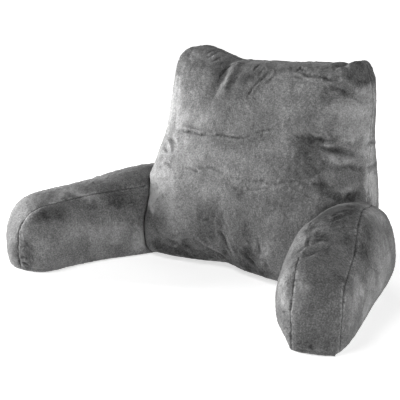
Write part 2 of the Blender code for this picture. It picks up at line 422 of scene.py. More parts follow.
@dataclass(frozen=True)
class ThreadFinish:
    """Dark sewing thread, sunk between two panels."""

    name: str = "seam_thread"
    grey: float = 0.018
    twist_size: float = 0.0012

    def build(self) -> bpy.types.Material:
        """Makes the material.

        Returns:
            The thread material.
        """
        material = bpy.data.materials.new(self.name)
        material.use_nodes = True
        nodes, links = material.node_tree.nodes, material.node_tree.links
        shader = nodes["Principled BSDF"]
        shader.inputs["Roughness"].default_value = 0.8
        shader.inputs["Specular IOR Level"].default_value = 0.2
        grain = nodes.new("ShaderNodeTexNoise")
        grain.inputs["Scale"].default_value = 1 / self.twist_size
        links.new(nodes.new("ShaderNodeTexCoord").outputs["Object"], grain.inputs["Vector"])
        ramp = nodes.new("ShaderNodeValToRGB")
        for stop, share in zip(ramp.color_ramp.elements, (0.5, 1.6)):
            stop.color = (*[self.grey * share] * 3, 1.0)
        links.new(grain.outputs["Fac"], ramp.inputs["Fac"])
        links.new(ramp.outputs["Color"], shader.inputs["Base Color"])
        return material


@dataclass(frozen=True)
class FloorFinish:
    """Plain white studio floor, with a glow that grows away from the pillow."""

    name: str = "studio_floor"
    grey: float = 0.92
    glow: float = 0.60
    far_glow: float = 1.10

    def build(self) -> bpy.types.Material:
        """Makes the material.

        Returns:
            The floor material.
        """
        material = bpy.data.materials.new(self.name)
        material.use_nodes = True
        nodes, links = material.node_tree.nodes, material.node_tree.links
        shader = nodes["Principled BSDF"]
        shader.inputs["Base Color"].default_value = (*[self.grey] * 3, 1.0)
        shader.inputs["Roughness"].default_value = 0.9
        shader.inputs["Emission Color"].default_value = (1.0, 1.0, 1.0, 1.0)
        away = nodes.new("ShaderNodeVectorMath")
        away.operation = "LENGTH"
        links.new(nodes.new("ShaderNodeTexCoord").outputs["Object"], away.inputs[0])
        glow = nodes.new("ShaderNodeMapRange")
        spans = {"From Min": 0.9, "From Max": 2.4, "To Min": self.glow, "To Max": self.far_glow}
        for name, value in spans.items():
            glow.inputs[name].default_value = value
        links.new(away.outputs["Value"], glow.inputs["Value"])
        links.new(glow.outputs["Result"], shader.inputs["Emission Strength"])
        return material


@dataclass(frozen=True)
class Filling:
    """How a cover is stuffed: its remesh, its pressure, and how far a point may swell."""

    voxel: float
    inset: float
    pressure: float
    cap: float
    fill: float
    stretch: float
    frames: int = 14


@dataclass
class PlushCover:
    """One stuffed compartment of the pillow, as a single closed cover over its solid."""

    node: str
    filling: Filling
    seams: tuple[Seam, ...] = ()
    folds: tuple[Fold, ...] = ()
    patches: tuple[NapAndLightPatch, ...] = ()
    neighbours: tuple[str, ...] = ()
    seed: float = 1.0
    seam_hold: float = 1.0
    relaxed: int = 6
    crisp_reach: float = 0.007
    groove: float = FULL_GROOVE
    groove_width: float = 0.0026
    pucker: float = 0.0008
    pile: float = 0.0012
    lump: float = 0.0022
    clump: float = 0.0008
    thread_radius: float = 0.00035

    @property
    def name(self) -> str:
        """The piece's name."""
        return self.node + "_cover"

    def smaller_copy(self, source: bpy.types.Object, sewn_to: list[BVHTree]) -> bpy.types.Object:
        """Copies the solid, merges it, and draws it in to leave room for the stuffing to swell.

        Args:
            source: The node's own object.
            sewn_to: The surfaces of the neighbouring solids.

        Returns:
            The new object.
        """
        shape = bmesh.new()
        shape.from_mesh(source.data)
        bmesh.ops.remove_doubles(shape, verts=shape.verts, dist=1e-5)
        bmesh.ops.recalc_face_normals(shape, faces=shape.faces)
        shape.normal_update()
        gaps = [
            min((tree.find_nearest(vert.co)[3] for tree in sewn_to), default=1.0)
            for vert in shape.verts
        ]
        insets = self.filling.inset * (0.2 + 0.8 * smooth_step(np.array(gaps), 0.002, 0.020))
        moves = [
            (vert, vert.normal * -inset, vert.co.z) for vert, inset in zip(shape.verts, insets)
        ]
        for vert, move, height in moves:
            vert.co += move
            vert.co.z = max(vert.co.z, 0.0) if height > 0.0005 else 0.0
        mesh = bpy.data.meshes.new(self.name)
        shape.to_mesh(mesh)
        shape.free()
        piece = bpy.data.objects.new(self.name, mesh)
        bpy.context.scene.collection.objects.link(piece)
        return piece

    def bake_modifiers(self, piece: bpy.types.Object) -> None:
        """Makes what the modifiers give the piece's own mesh.

        Args:
            piece: The object.
        """
        bpy.context.view_layer.update()
        depsgraph = bpy.context.evaluated_depsgraph_get()
        baked = bpy.data.meshes.new_from_object(piece.evaluated_get(depsgraph))
        piece.modifiers.clear()
        old = piece.data
        piece.data = baked
        bpy.data.meshes.remove(old)
        baked.name = self.name

    def sewn_weights(self, piece: bpy.types.Object, sewn_to: list[BVHTree]) -> np.ndarray:
        """Finds what the stuffing can't move: the base, the seams and the joins to its neighbours.

        Args:
            piece: The remeshed object.
            sewn_to: The surfaces of the neighbouring solids.

        Returns:
            From 0, free, to 1, held, for each vertex.
        """
        coords = np.array([vert.co for vert in piece.data.vertices])
        surface = mesh_surface(piece.data)
        held = (coords[:, 2] < 0.002).astype(float)
        for seam in self.seams:
            found, distance, _, _ = SurfaceLine(seam.points, surface).near(coords, 0.01)
            sewn = self.seam_hold * (1 - smooth_step(distance, 0.003, 0.008))
            held[found] = np.maximum(held[found], sewn)
        for tree in sewn_to:
            gaps = np.array([tree.find_nearest(Vector(co), 0.03)[3] or 0.03 for co in coords])
            held = np.maximum(held, 1 - smooth_step(gaps, 0.006, 0.016))
        return held

    def stuff(self, piece: bpy.types.Object, held: np.ndarray) -> None:
        """Swells the cover under the pressure of its filling, and caps how far each point moved.

        Args:
            piece: The remeshed object.
            held: From 0, free, to 1, held, for each vertex.
        """
        group = piece.vertex_groups.new(name="sewn")
        for i, weight in enumerate(held):
            if weight > 0:
                group.add([i], float(weight), "REPLACE")
        start = np.array([vert.co for vert in piece.data.vertices])
        cloth = piece.modifiers.new("filling", "CLOTH")
        cloth.settings.quality = 4
        cloth.settings.mass = 0.3
        cloth.settings.tension_stiffness = self.filling.stretch
        cloth.settings.compression_stiffness = self.filling.stretch
        cloth.settings.shear_stiffness = self.filling.stretch / 2
        cloth.settings.bending_stiffness = self.filling.stretch / 25
        cloth.settings.use_pressure = True
        cloth.settings.uniform_pressure_force = self.filling.pressure
        cloth.settings.effector_weights.gravity = 0.0
        cloth.settings.vertex_group_mass = group.name
        cloth.collision_settings.use_collision = False
        cloth.collision_settings.use_self_collision = False
        cloth.point_cache.frame_start = 1
        cloth.point_cache.frame_end = self.filling.frames
        scene = bpy.context.scene
        for frame in range(1, self.filling.frames + 1):
            scene.frame_set(frame)
        swollen = piece.evaluated_get(bpy.context.evaluated_depsgraph_get())
        moved = np.array([vert.co for vert in swollen.data.vertices]) - start
        normals = np.array([vert.normal for vert in piece.data.vertices])
        sunk = np.minimum((moved * normals).sum(1), 0.0)
        moved -= normals * sunk[:, None]
        piece.modifiers.remove(cloth)
        piece.vertex_groups.remove(group)
        scene.frame_set(1)
        length = np.maximum(np.linalg.norm(moved, axis=1), 1e-9)
        kept = self.filling.cap * np.tanh(length / self.filling.cap)
        start += moved * (kept / length)[:, None]
        start[:, 2] = np.maximum(start[:, 2], 0.0)
        piece.data.vertices.foreach_set("co", start.ravel())
        piece.data.update()
        LOG.info("%s swelled by %.1f mm on average", self.name, 1000 * kept.mean())

    def refine(self, piece: bpy.types.Object, lines: list[SurfaceLine]) -> None:
        """Divides the faces beside the seams and folds once more, so that they come out crisp.

        Args:
            piece: The stuffed cover.
            lines: The lines of its seams and folds.
        """
        shape = bmesh.new()
        shape.from_mesh(piece.data)
        coords = np.array([vert.co for vert in shape.verts])
        near = np.zeros(len(coords), bool)
        for line in lines:
            found, distance, _, _ = line.near(coords, self.crisp_reach)
            near[found[distance < self.crisp_reach]] = True
        edges = [edge for edge in shape.edges if all(near[vert.index] for vert in edge.verts)]
        bmesh.ops.subdivide_edges(shape, edges=edges, cuts=1, use_grid_fill=True)
        shape.to_mesh(piece.data)
        shape.free()
        piece.data.update()

    def press_seams(self, skin: Skin, lines: list[SurfaceLine]) -> None:
        """Draws the panels in along each seam, with small puckers beside it.

        Args:
            skin: The cover's vertices.
            lines: The seams' lines on the surface.
        """
        for i, line in enumerate(lines):
            found, distance, along, _ = line.near(skin.coords, 0.03)
            coords = skin.coords[found]
            drawn = noise_at(coords, size=0.021, seed=self.seed + 3 * i)
            bare = 0.45 + 0.75 * smooth_step(drawn, -0.25, 0.25)
            cut = bare * np.exp(-(distance / self.groove_width) ** 2)
            beside = np.exp(-((distance - 0.009) / 0.007) ** 2)
            wave = np.sin(along / 0.0043 + 3 * np.sin(along / 0.031 + i))
            wave = wave * np.sin(along / 0.017 + 2 * i)
            skin.offset[found] += self.pucker * wave * beside - self.groove * cut
            fluff = np.exp(-((distance - 0.0040) / 0.0022) ** 2)
            tufts = noise_at(coords, size=0.0035, seed=self.seed + i)
            tufts = tufts + 0.5 * noise_at(coords, size=0.012, seed=i)
            bare *= self.groove / FULL_GROOVE
            shaded = 0.15 * bare * np.exp(-(distance / 0.0018) ** 2)
            skin.tone[found] += (0.07 + 0.24 * tufts) * fluff - shaded

    def thread(self, seam: Seam, line: SurfaceLine, surface: BVHTree) -> bpy.types.Object:
        """Lays the seam's thread at the bottom of its groove, a little thinner at each stitch hole.

        Args:
            seam: The seam.
            line: Its line before the groove was pressed in.
            surface: The finished cover's surface.

        Returns:
            The thread object.
        """
        tube = bmesh.new()
        last = []
        end = len(line.points) - 1
        for i, (point, tangent, run) in enumerate(zip(line.points, line.tangents, line.run)):
            spot, normal, _, _ = surface.find_nearest(Vector(point))
            across = Vector(tangent).cross(normal).normalized()
            up = across.cross(Vector(tangent)).normalized()
            turn = Matrix((across, up, -Vector(tangent))).transposed().to_4x4()
            radius = self.thread_radius * (0.7 + 0.3 * abs(math.sin(run / 0.0035 * math.pi)))
            ring = bmesh.ops.create_circle(
                tube, cap_ends=i in (0, end), segments=6, radius=radius,
                matrix=Matrix.Translation(spot) @ turn,
            )["verts"]
            edges = list({edge for vert in ring for edge in vert.link_edges})
            if last:
                bmesh.ops.bridge_loops(tube, edges=last + edges)
            last = edges
        bmesh.ops.recalc_face_normals(tube, faces=tube.faces)
        mesh = bpy.data.meshes.new(f"{self.node}_{seam.name}")
        tube.to_mesh(mesh)
        tube.free()
        mesh.shade_smooth()
        piece = bpy.data.objects.new(mesh.name, mesh)
        bpy.context.scene.collection.objects.link(piece)
        return piece

    def build(self, plush: bpy.types.Material, thread: bpy.types.Material) -> None:
        """Makes the cover and its threads, and sets them on the frame.

        Args:
            plush: The cover's material.
            thread: The threads' material.
        """
        nodes = bpy.data.objects
        sewn_to = [mesh_surface(nodes[name].data) for name in self.neighbours]
        piece = self.smaller_copy(nodes[self.node], sewn_to)
        remesh = piece.modifiers.new("even_cloth", "REMESH")
        remesh.mode = "VOXEL"
        remesh.voxel_size = self.filling.voxel
        relax = piece.modifiers.new("relax", "SMOOTH")
        relax.factor = 0.5
        relax.iterations = self.relaxed
        self.bake_modifiers(piece)
        held = self.sewn_weights(piece, sewn_to)
        self.stuff(piece, held)
        finer = piece.modifiers.new("finer", "SUBSURF")
        finer.levels = finer.render_levels = 1
        self.bake_modifiers(piece)
        surface = mesh_surface(piece.data)
        lines = [SurfaceLine(seam.points, surface) for seam in self.seams]
        fold_lines = [SurfaceLine(fold.points, surface) for fold in self.folds]
        sunk_or_raised = [
            line for fold, line in zip(self.folds, fold_lines) if fold.kind is not FoldKind.BRUSHED
        ]
        self.refine(piece, lines + sunk_or_raised)
        skin = Skin(piece.data, self.seed)
        self.press_seams(skin, lines)
        for i, (fold, line) in enumerate(zip(self.folds, fold_lines)):
            skin.fold(fold, line, self.seed + 1.7 * i)
        for patch in self.patches:
            skin.patch(patch)
        skin.ruffle(self.pile, self.lump, self.clump)
        skin.settle(self.free_share(skin, sewn_to))
        piece.data.shade_smooth()
        piece.data.materials.clear()
        piece.data.materials.append(plush)
        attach(piece, BODY)
        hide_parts(self.node)
        LOG.info("%s has %d faces", piece.name, len(piece.data.polygons))
        surface = mesh_surface(piece.data)
        for seam, line in zip(self.seams, lines):
            cord = self.thread(seam, line, surface)
            cord.data.materials.append(thread)
            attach(cord, BODY)
            LOG.info("%s is %.0f mm long", cord.name, 1000 * line.run[-1])

    def free_share(self, skin: Skin, sewn_to: list[BVHTree]) -> np.ndarray:
        """Finds how free each vertex is to move: not at all where the cover is sewn to a neighbour.

        Args:
            skin: The cover's vertices.
            sewn_to: The surfaces of the neighbouring solids.

        Returns:
            From 0, held, to 1, free, for each vertex.
        """
        free = np.ones(len(skin.coords))
        for tree in sewn_to:
            gaps = np.array([tree.find_nearest(Vector(co), 0.02)[3] or 0.02 for co in skin.coords])
            free = np.minimum(free, smooth_step(gaps, 0.002, 0.012))
        return free


@dataclass(frozen=True)
class ArmPlace:
    """Where an arm's front end stands, in millimetres, and how it splays."""

    end_x: float
    end_y: float
    side: int
    splay: float = math.radians(24.6)

    def at(self, behind: float, aside: float, height: float) -> Point:
        """A point of the arm.

        Args:
            behind: The distance behind its front end.
            aside: The distance from its middle line, outwards.
            height: The height above the floor.

        Returns:
            The point in the row frame, in millimetres.
        """
        sine, cosine = math.sin(self.splay), math.cos(self.splay)
        return (
            self.end_x + self.side * (cosine * aside - sine * behind),
            self.end_y + cosine * behind + sine * aside,
            height,
        )

    def line(self, *points: Point) -> tuple[Point, ...]:
        """Points of the arm in the row frame, each given as behind, aside and height."""
        return tuple(self.at(*point) for point in points)

    def seams(self, *seams: Seam) -> tuple[Seam, ...]:
        """Seams of the arm in the row frame, given in its own sizes."""
        return tuple(seam._replace(points=self.line(*seam.points)) for seam in seams)

    def folds(self, *folds: Fold) -> tuple[Fold, ...]:
        """Folds of the arm in the row frame, given in its own sizes."""
        return tuple(fold._replace(points=self.line(*fold.points)) for fold in folds)

    def patches(self, *patches: NapAndLightPatch) -> tuple[NapAndLightPatch, ...]:
        """Brushed places of the arm in the row frame, given in its own sizes."""
        return tuple(patch._replace(centre=self.at(*patch.centre)) for patch in patches)


LEFT = ArmPlace(-410, -371, -1)
RIGHT = ArmPlace(420, -387, 1)
TROUGH, BRUSHED, RIDGE = FoldKind.TROUGH, FoldKind.BRUSHED, FoldKind.RIDGE

BACK_SEAMS = (
    Seam("edge_seam", (
        (-243, 20, 4), (-258, 25, 60), (-262, 30, 140), (-260, 36, 220),
        (-248, 46, 300), (-248, 60, 380), (-244, 68, 430), (-222, 70, 459),
        (-175, 70, 456), (-122, 70, 441), (-60, 68, 438), (20, 68, 442),
        (110, 68, 449), (180, 66, 455), (225, 66, 455), (244, 64, 430),
        (247, 66, 381), (248, 61, 330), (249, 60, 276), (255, 47, 237),
        (262, 36, 170), (260, 28, 80), (243, 22, 4),
    )),
)

# A trough's dark tone is painted shade over its parted pile, and a ridge's light tone a painted
# highlight
BACK_FOLDS = (
    # Pleats that fan down from the top seam beside the left corner
    Fold(TROUGH, 4.0, 2.8, -0.15, ((-174, 67, 455), (-165, 26, 452), (-169, 13, 448))),
    Fold(TROUGH, 3.6, 2.4, -0.13, ((-160, 61, 452), (-151, 21, 447), (-164, 13, 446))),
    Fold(RIDGE, 4.0, 1.6, 0.05, ((-148, 53, 448), (-143, 19, 443), (-153, 10, 441))),
    Fold(TROUGH, 4.2, 3.0, -0.15, ((-142, 59, 446), (-136, 20, 442), (-145, 7, 437))),
    Fold(TROUGH, 4.5, 3.2, -0.16, ((-121, 49, 440), (-120, 18, 434), (-129, 3, 429))),
    Fold(RIDGE, 4.5, 1.4, 0.00, ((-109, 44, 437), (-110, 18, 429), (-114, 1, 421))),
    Fold(TROUGH, 4.0, 2.6, -0.27, (
        (-75, 15, 437), (-102, 17, 424), (-105, 0, 412), (-105, -11, 398), (-100, -18, 383))),
    Fold(TROUGH, 3.4, 0.9, -0.17, ((10, 11, 437), (7, -2, 426), (1, -12, 416))),
    Fold(TROUGH, 3.6, 1.6, -0.08, (
        (33, 4, 433), (21, -10, 419), (11, -20, 403), (4, -27, 389), (-3, -36, 371))),
    Fold(RIDGE, 4.0, 1.2, 0.06, ((45, -2, 429), (33, -14, 414), (22, -23, 397))),
    Fold(BRUSHED, 12.0, 0.0, -0.06, ((-109, 20, 430), (-109, 6, 420), (-107, -7, 407))),
    # The gathered band behind the top of the front panel
    Fold(TROUGH, 4.5, 2.6, -0.16, (
        (84, -5, 428), (110, -7, 427), (138, -3, 431), (163, -3, 432), (186, -6, 429),
        (202, -6, 430), (209, 0, 438))),
    Fold(BRUSHED, 8.0, 0.0, -0.14, (
        (148, -2, 433), (168, -2, 433), (184, -5, 431), (201, -4, 432), (209, 2, 440))),
    Fold(RIDGE, 3.6, 1.6, 0.05, ((91, 20, 446), (125, 8, 442), (150, 9, 442), (165, 15, 448))),
    Fold(TROUGH, 3.4, 1.6, -0.08, ((86, -2, 431), (96, 8, 440), (96, 20, 447))),
    Fold(TROUGH, 3.4, 1.6, -0.08, ((168, 19, 450), (192, 13, 450), (204, 16, 453))),
    # The gathered right corner, with a crease under it
    Fold(TROUGH, 5.6, 4.6, 0.00, (
        (193, 34, 457), (212, 15, 451), (218, 7, 443), (226, 4, 434), (234, 6, 428))),
    Fold(RIDGE, 18.0, 6.5, 0.00, ((224, 30, 452), (226, 55, 460), (225, 80, 462), (222, 102, 452))),
    Fold(TROUGH, 12.0, 4.6, -0.11, (
        (188, 16, 440), (187, 40, 452), (185, 70, 456), (182, 98, 450))),
    Fold(TROUGH, 4.0, 2.8, -0.12, (
        (234, 6, 428), (241, 14, 424), (243, 29, 427), (246, 39, 422), (247, 48, 413))),
    Fold(RIDGE, 3.6, 1.6, 0.13, ((224, 39, 453), (232, 25, 445), (236, 16, 436))),
    Fold(RIDGE, 5.0, 2.0, 0.07, ((240, 8, 413), (245, 19, 404), (247, 36, 402))),
    Fold(TROUGH, 5.0, 4.5, -0.22, (
        (187, -14, 407), (201, -10, 410), (214, -5, 405), (227, 1, 399))),
    Fold(TROUGH, 3.4, 2.0, -0.14, ((226, 0, 400), (242, 9, 388), (247, 26, 379), (248, 51, 382))),
    Fold(TROUGH, 3.6, 1.6, -0.13, ((187, -13, 413), (186, -15, 406), (189, -18, 398))),
    Fold(BRUSHED, 11.0, 0.0, 0.01, ((173, -6, 428), (177, -15, 409), (182, -25, 388))),
    # The first crease across the panel, where the sitter's back bends it
    Fold(TROUGH, 3.3, 2.4, -0.20, (
        (-190, -62, 284), (-170, -64, 282), (-155, -65, 282), (-138, -64, 284), (-119, -64, 284),
        (-98, -66, 283), (-79, -67, 284), (-60, -66, 287), (-42, -66, 290), (-19, -66, 290),
        (3, -68, 288), (21, -66, 293), (39, -63, 302))),
    Fold(TROUGH, 3.2, 1.4, -0.09, (
        (30, -64, 297), (47, -62, 305), (67, -61, 311), (91, -59, 317), (116, -57, 319))),
    Fold(BRUSHED, 5.0, 0.0, -0.08, ((12, -71, 283), (23, -75, 278), (31, -77, 275))),
    Fold(RIDGE, 4.5, 1.6, 0.05, (
        (-174, -62, 288), (-140, -61, 290), (-104, -62, 290), (-75, -63, 292))),
    Fold(BRUSHED, 9.0, 0.0, -0.07, ((-183, -66, 278), (-158, -67, 278), (-123, -67, 280))),
    # Creases at the left edge
    Fold(RIDGE, 5.0, 3.0, 0.12, (
        (-214, -68, 266), (-195, -75, 256), (-181, -80, 244), (-178, -83, 231))),
    Fold(TROUGH, 5.0, 3.2, -0.17, ((-197, -70, 267), (-182, -74, 261), (-166, -78, 254))),
    Fold(BRUSHED, 14.0, 0.0, -0.03, ((-193, -71, 266), (-179, -74, 261), (-161, -78, 255))),
    Fold(TROUGH, 4.5, 3.2, -0.12, ((-223, -73, 243), (-206, -79, 243), (-195, -82, 233))),
    Fold(TROUGH, 4.0, 2.6, -0.23, ((-200, -90, 212), (-185, -90, 212), (-164, -94, 208))),
    Fold(TROUGH, 3.4, 1.6, -0.08, ((-137, -95, 208), (-108, -94, 210), (-82, -96, 209))),
    Fold(TROUGH, 3.6, 2.0, -0.12, (
        (-93, -89, 220), (-72, -91, 220), (-47, -93, 220), (-17, -97, 217), (-7, -97, 214))),
    Fold(TROUGH, 3.4, 1.8, -0.08, ((-219, -102, 169), (-208, -106, 160), (-209, -109, 148))),
    Fold(TROUGH, 3.2, 1.6, -0.23, ((-187, -112, 147), (-178, -114, 139))),
    Fold(TROUGH, 3.0, 1.4, -0.14, ((-125, -120, 132), (-117, -123, 126))),
    # Creases at the right
    Fold(TROUGH, 4.2, 2.8, -0.15, (
        (141, -57, 309), (163, -53, 313), (184, -47, 308), (202, -44, 306))),
    Fold(TROUGH, 5.6, 5.0, -0.28, (
        (184, -47, 308), (202, -44, 306), (216, -40, 307), (228, -33, 311))),
    Fold(TROUGH, 3.6, 2.0, -0.12, ((211, -46, 323), (216, -43, 319), (222, -38, 314))),
    Fold(RIDGE, 4.0, 3.0, 0.16, ((192, -44, 301), (211, -42, 299), (226, -34, 302))),
    Fold(RIDGE, 4.6, 2.6, 0.16, ((228, -33, 300), (240, -20, 295), (245, -4, 283))),
    Fold(TROUGH, 6.4, 7.0, -0.34, (
        (192, -44, 292), (214, -42, 290), (229, -35, 289), (239, -24, 283), (245, -8, 277),
        (247, 8, 274))),
    Fold(TROUGH, 4.4, 3.0, -0.10, (
        (189, -53, 287), (202, -62, 275), (214, -65, 268), (229, -57, 262))),
    Fold(TROUGH, 5.0, 4.0, -0.16, (
        (229, -57, 262), (241, -44, 254), (249, -19, 254), (252, 8, 247))),
    Fold(TROUGH, 5.0, 4.6, -0.20, ((251, 1, 248), (253, 38, 241), (251, 66, 243))),
    Fold(BRUSHED, 15.0, 0.0, -0.10, ((158, -68, 281), (180, -71, 268), (204, -76, 249))),
    Fold(BRUSHED, 12.0, 0.0, -0.15, ((141, -59, 302), (162, -53, 304), (183, -47, 300))),
    Fold(BRUSHED, 9.0, 0.0, 0.11, ((181, -31, 374), (188, -39, 353), (194, -47, 330))),
    Fold(BRUSHED, 11.0, 0.0, -0.09, ((157, -38, 360), (166, -46, 339), (170, -52, 320))),
    Fold(BRUSHED, 9.0, 0.0, 0.20, (
        (209, -52, 279), (225, -49, 272), (239, -39, 266), (249, -5, 264))),
    Fold(BRUSHED, 8.0, 0.0, 0.04, ((249, 62, 357), (248, 61, 332), (247, 56, 307))),
    Fold(BRUSHED, 7.0, 0.0, -0.10, ((62, -79, 270), (63, -83, 260), (62, -88, 249))),
    # The second crease, and its fainter fellow
    Fold(TROUGH, 3.2, 1.6, -0.12, ((-3, -97, 213), (34, -97, 210), (68, -95, 213), (97, -93, 215))),
    Fold(TROUGH, 3.4, 2.0, -0.16, (
        (81, -94, 214), (117, -91, 213), (149, -89, 218), (172, -87, 223), (193, -84, 224))),
    Fold(TROUGH, 3.0, 1.2, -0.10, ((49, -105, 192), (73, -102, 193), (111, -95, 200))),
    Fold(TROUGH, 3.4, 1.8, -0.15, ((193, -84, 224), (220, -80, 220), (239, -64, 216))),
    Fold(BRUSHED, 18.0, 0.0, -0.13, ((9, -108, 189), (31, -112, 182), (53, -113, 177))),
    # The full lower left of the panel, which hangs over a tuck
    Fold(TROUGH, 5.6, 4.6, 0.00, (
        (-171, -142, 64), (-152, -140, 55), (-135, -139, 50), (-113, -138, 50), (-88, -141, 64),
        (-79, -141, 73))),
    Fold(RIDGE, 5.0, 2.6, 0.05, (
        (-147, -145, 70), (-131, -143, 62), (-110, -143, 62), (-91, -144, 73))),
    Fold(TROUGH, 5.0, 3.6, -0.03, (
        (-79, -142, 75), (-63, -133, 60), (-46, -120, 46), (-32, -107, 34), (-5, -101, 23))),
    Fold(RIDGE, 4.2, 2.4, 0.12, (
        (-62, -136, 71), (-44, -125, 57), (-30, -114, 46), (-5, -107, 35), (11, -107, 27))),
    Fold(BRUSHED, 9.0, 0.0, 0.11, ((-100, -127, 117), (-91, -136, 100), (-85, -142, 82))),
    Fold(BRUSHED, 22.0, 0.0, -0.13, ((-65, -122, 135), (-53, -127, 114), (-45, -130, 89))),
    # Gathers that run down to the right at the foot
    Fold(RIDGE, 5.0, 2.2, 0.03, ((-22, -122, 123), (-18, -123, 111), (-12, -123, 99))),
    Fold(TROUGH, 4.6, 4.4, -0.20, ((-8, -121, 97), (1, -118, 78), (9, -115, 60), (25, -121, 42))),
    Fold(RIDGE, 4.6, 3.0, 0.18, ((5, -118, 93), (27, -131, 76), (34, -127, 55), (38, -123, 41))),
    Fold(BRUSHED, 12.0, 0.0, -0.19, ((-9, -119, 66), (-5, -113, 50), (2, -108, 36))),
    Fold(BRUSHED, 22.0, 0.0, -0.14, ((50, -125, 125), (67, -130, 102), (85, -135, 78))),
    Fold(TROUGH, 4.6, 3.4, -0.09, (
        (47, -130, 67), (67, -126, 59), (87, -129, 45), (107, -136, 35))),
    Fold(RIDGE, 4.4, 2.4, 0.05, ((53, -128, 74), (75, -126, 65), (105, -140, 55))),
    Fold(TROUGH, 4.2, 2.8, -0.08, ((119, -140, 65), (127, -136, 45), (133, -133, 33))),
    Fold(BRUSHED, 10.0, 0.0, 0.10, ((118, -134, 95), (124, -136, 80), (131, -137, 66))),
    Fold(TROUGH, 3.6, 1.6, -0.08, ((98, -133, 111), (110, -137, 91), (116, -141, 65))),
    Fold(BRUSHED, 8.0, 0.0, 0.09, ((-23, -116, 148), (-18, -118, 131), (-16, -121, 119))),
    # The hollow over the right arm, darkened with painted shade
    Fold(BRUSHED, 20.0, 0.0, -0.16, ((244, -71, 195), (255, -47, 197), (260, -10, 195))),
    Fold(TROUGH, 7.0, 4.0, -0.08, ((246, -71, 187), (256, -45, 191), (260, -7, 186))),
    Fold(TROUGH, 4.0, 2.2, -0.08, ((259, 9, 206), (260, 19, 191), (261, 27, 177))),
    Fold(RIDGE, 4.0, 2.0, 0.08, ((259, 29, 207), (260, 39, 192), (260, 48, 175))),
    # The left rim, the foot, the right side and the gathered band, seen closer, with a painted
    # highlight on the left rim and painted shade along the foot and over the right arm
    Fold(TROUGH, 4.6, 3.6, -0.10, ((-204, -132, 94), (-184, -141, 73), (-167, -140, 57))),
    Fold(RIDGE, 12.0, 5.0, 0.08, (
        (-248, -84, 190), (-246, -92, 166), (-240, -100, 146), (-228, -108, 126),
        (-214, -114, 108))),
    Fold(BRUSHED, 9.0, 0.0, -0.08, ((-105, 36, 436), (-41, 19, 437), (2, 19, 440))),
    Fold(BRUSHED, 14.0, 0.0, -0.10, (
        (-200, -130, 17), (-135, -125, 16), (-67, -103, 16), (2, -105, 27))),
    Fold(BRUSHED, 14.0, 0.0, -0.20, ((42, -117, 24), (88, -124, 22), (133, -131, 24))),
    Fold(BRUSHED, 8.0, 0.0, -0.14, ((-9, -116, 148), (4, -118, 119), (19, -127, 100))),
    Fold(TROUGH, 4.5, 3.6, -0.14, ((247, 30, 292), (249, 66, 290), (250, 100, 289))),
    Fold(TROUGH, 4.5, 4.2, -0.16, ((251, 50, 243), (253, 80, 243), (254, 112, 244))),
    Fold(BRUSHED, 9.0, 0.0, -0.09, (
        (209, -82, 223), (234, -69, 219), (252, -40, 218), (256, -3, 218))),
    Fold(BRUSHED, 9.0, 0.0, -0.12, (
        (221, -84, 207), (246, -63, 203), (257, -29, 202), (260, 12, 201))),
    Fold(BRUSHED, 6.0, 0.0, 0.20, ((243, -60, 212), (254, -40, 209), (257, -15, 210))),
    Fold(RIDGE, 3.4, 1.6, 0.05, ((75, -7, 426), (98, -4, 430), (129, -7, 426), (157, -8, 426))),
    Fold(TROUGH, 3.2, 1.4, -0.05, ((105, 1, 435), (122, -1, 433), (135, 1, 436))),
    Fold(RIDGE, 3.2, 1.0, 0.04, ((97, 11, 443), (119, 6, 440), (141, 4, 439))),
    Fold(RIDGE, 3.2, 1.0, 0.06, ((126, 14, 446), (144, 10, 444), (165, 9, 444), (182, 12, 448))),
    Fold(TROUGH, 3.2, 1.0, -0.03, ((-12, 23, 440), (-14, 5, 431), (-20, -9, 418))),
    # Soft sags over the rear panel
    Fold(TROUGH, 11.0, 3.4, -0.05, (
        (-190, 150, 352), (-110, 150, 338), (-30, 150, 335), (60, 150, 343))),
    Fold(TROUGH, 9.0, 3.0, -0.05, ((205, 140, 300), (150, 145, 286), (90, 150, 282))),
    Fold(TROUGH, 12.0, 3.6, -0.06, ((-215, 150, 120), (-150, 155, 96), (-70, 160, 88))),
    Fold(TROUGH, 9.0, 2.6, -0.04, ((120, 158, 150), (170, 155, 118), (215, 150, 100))),
    Fold(TROUGH, 6.0, 2.6, -0.06, ((-205, 100, 440), (-190, 120, 415), (-178, 128, 392))),
    Fold(TROUGH, 6.0, 2.4, -0.06, ((196, 100, 440), (186, 120, 418), (180, 128, 398))),
)

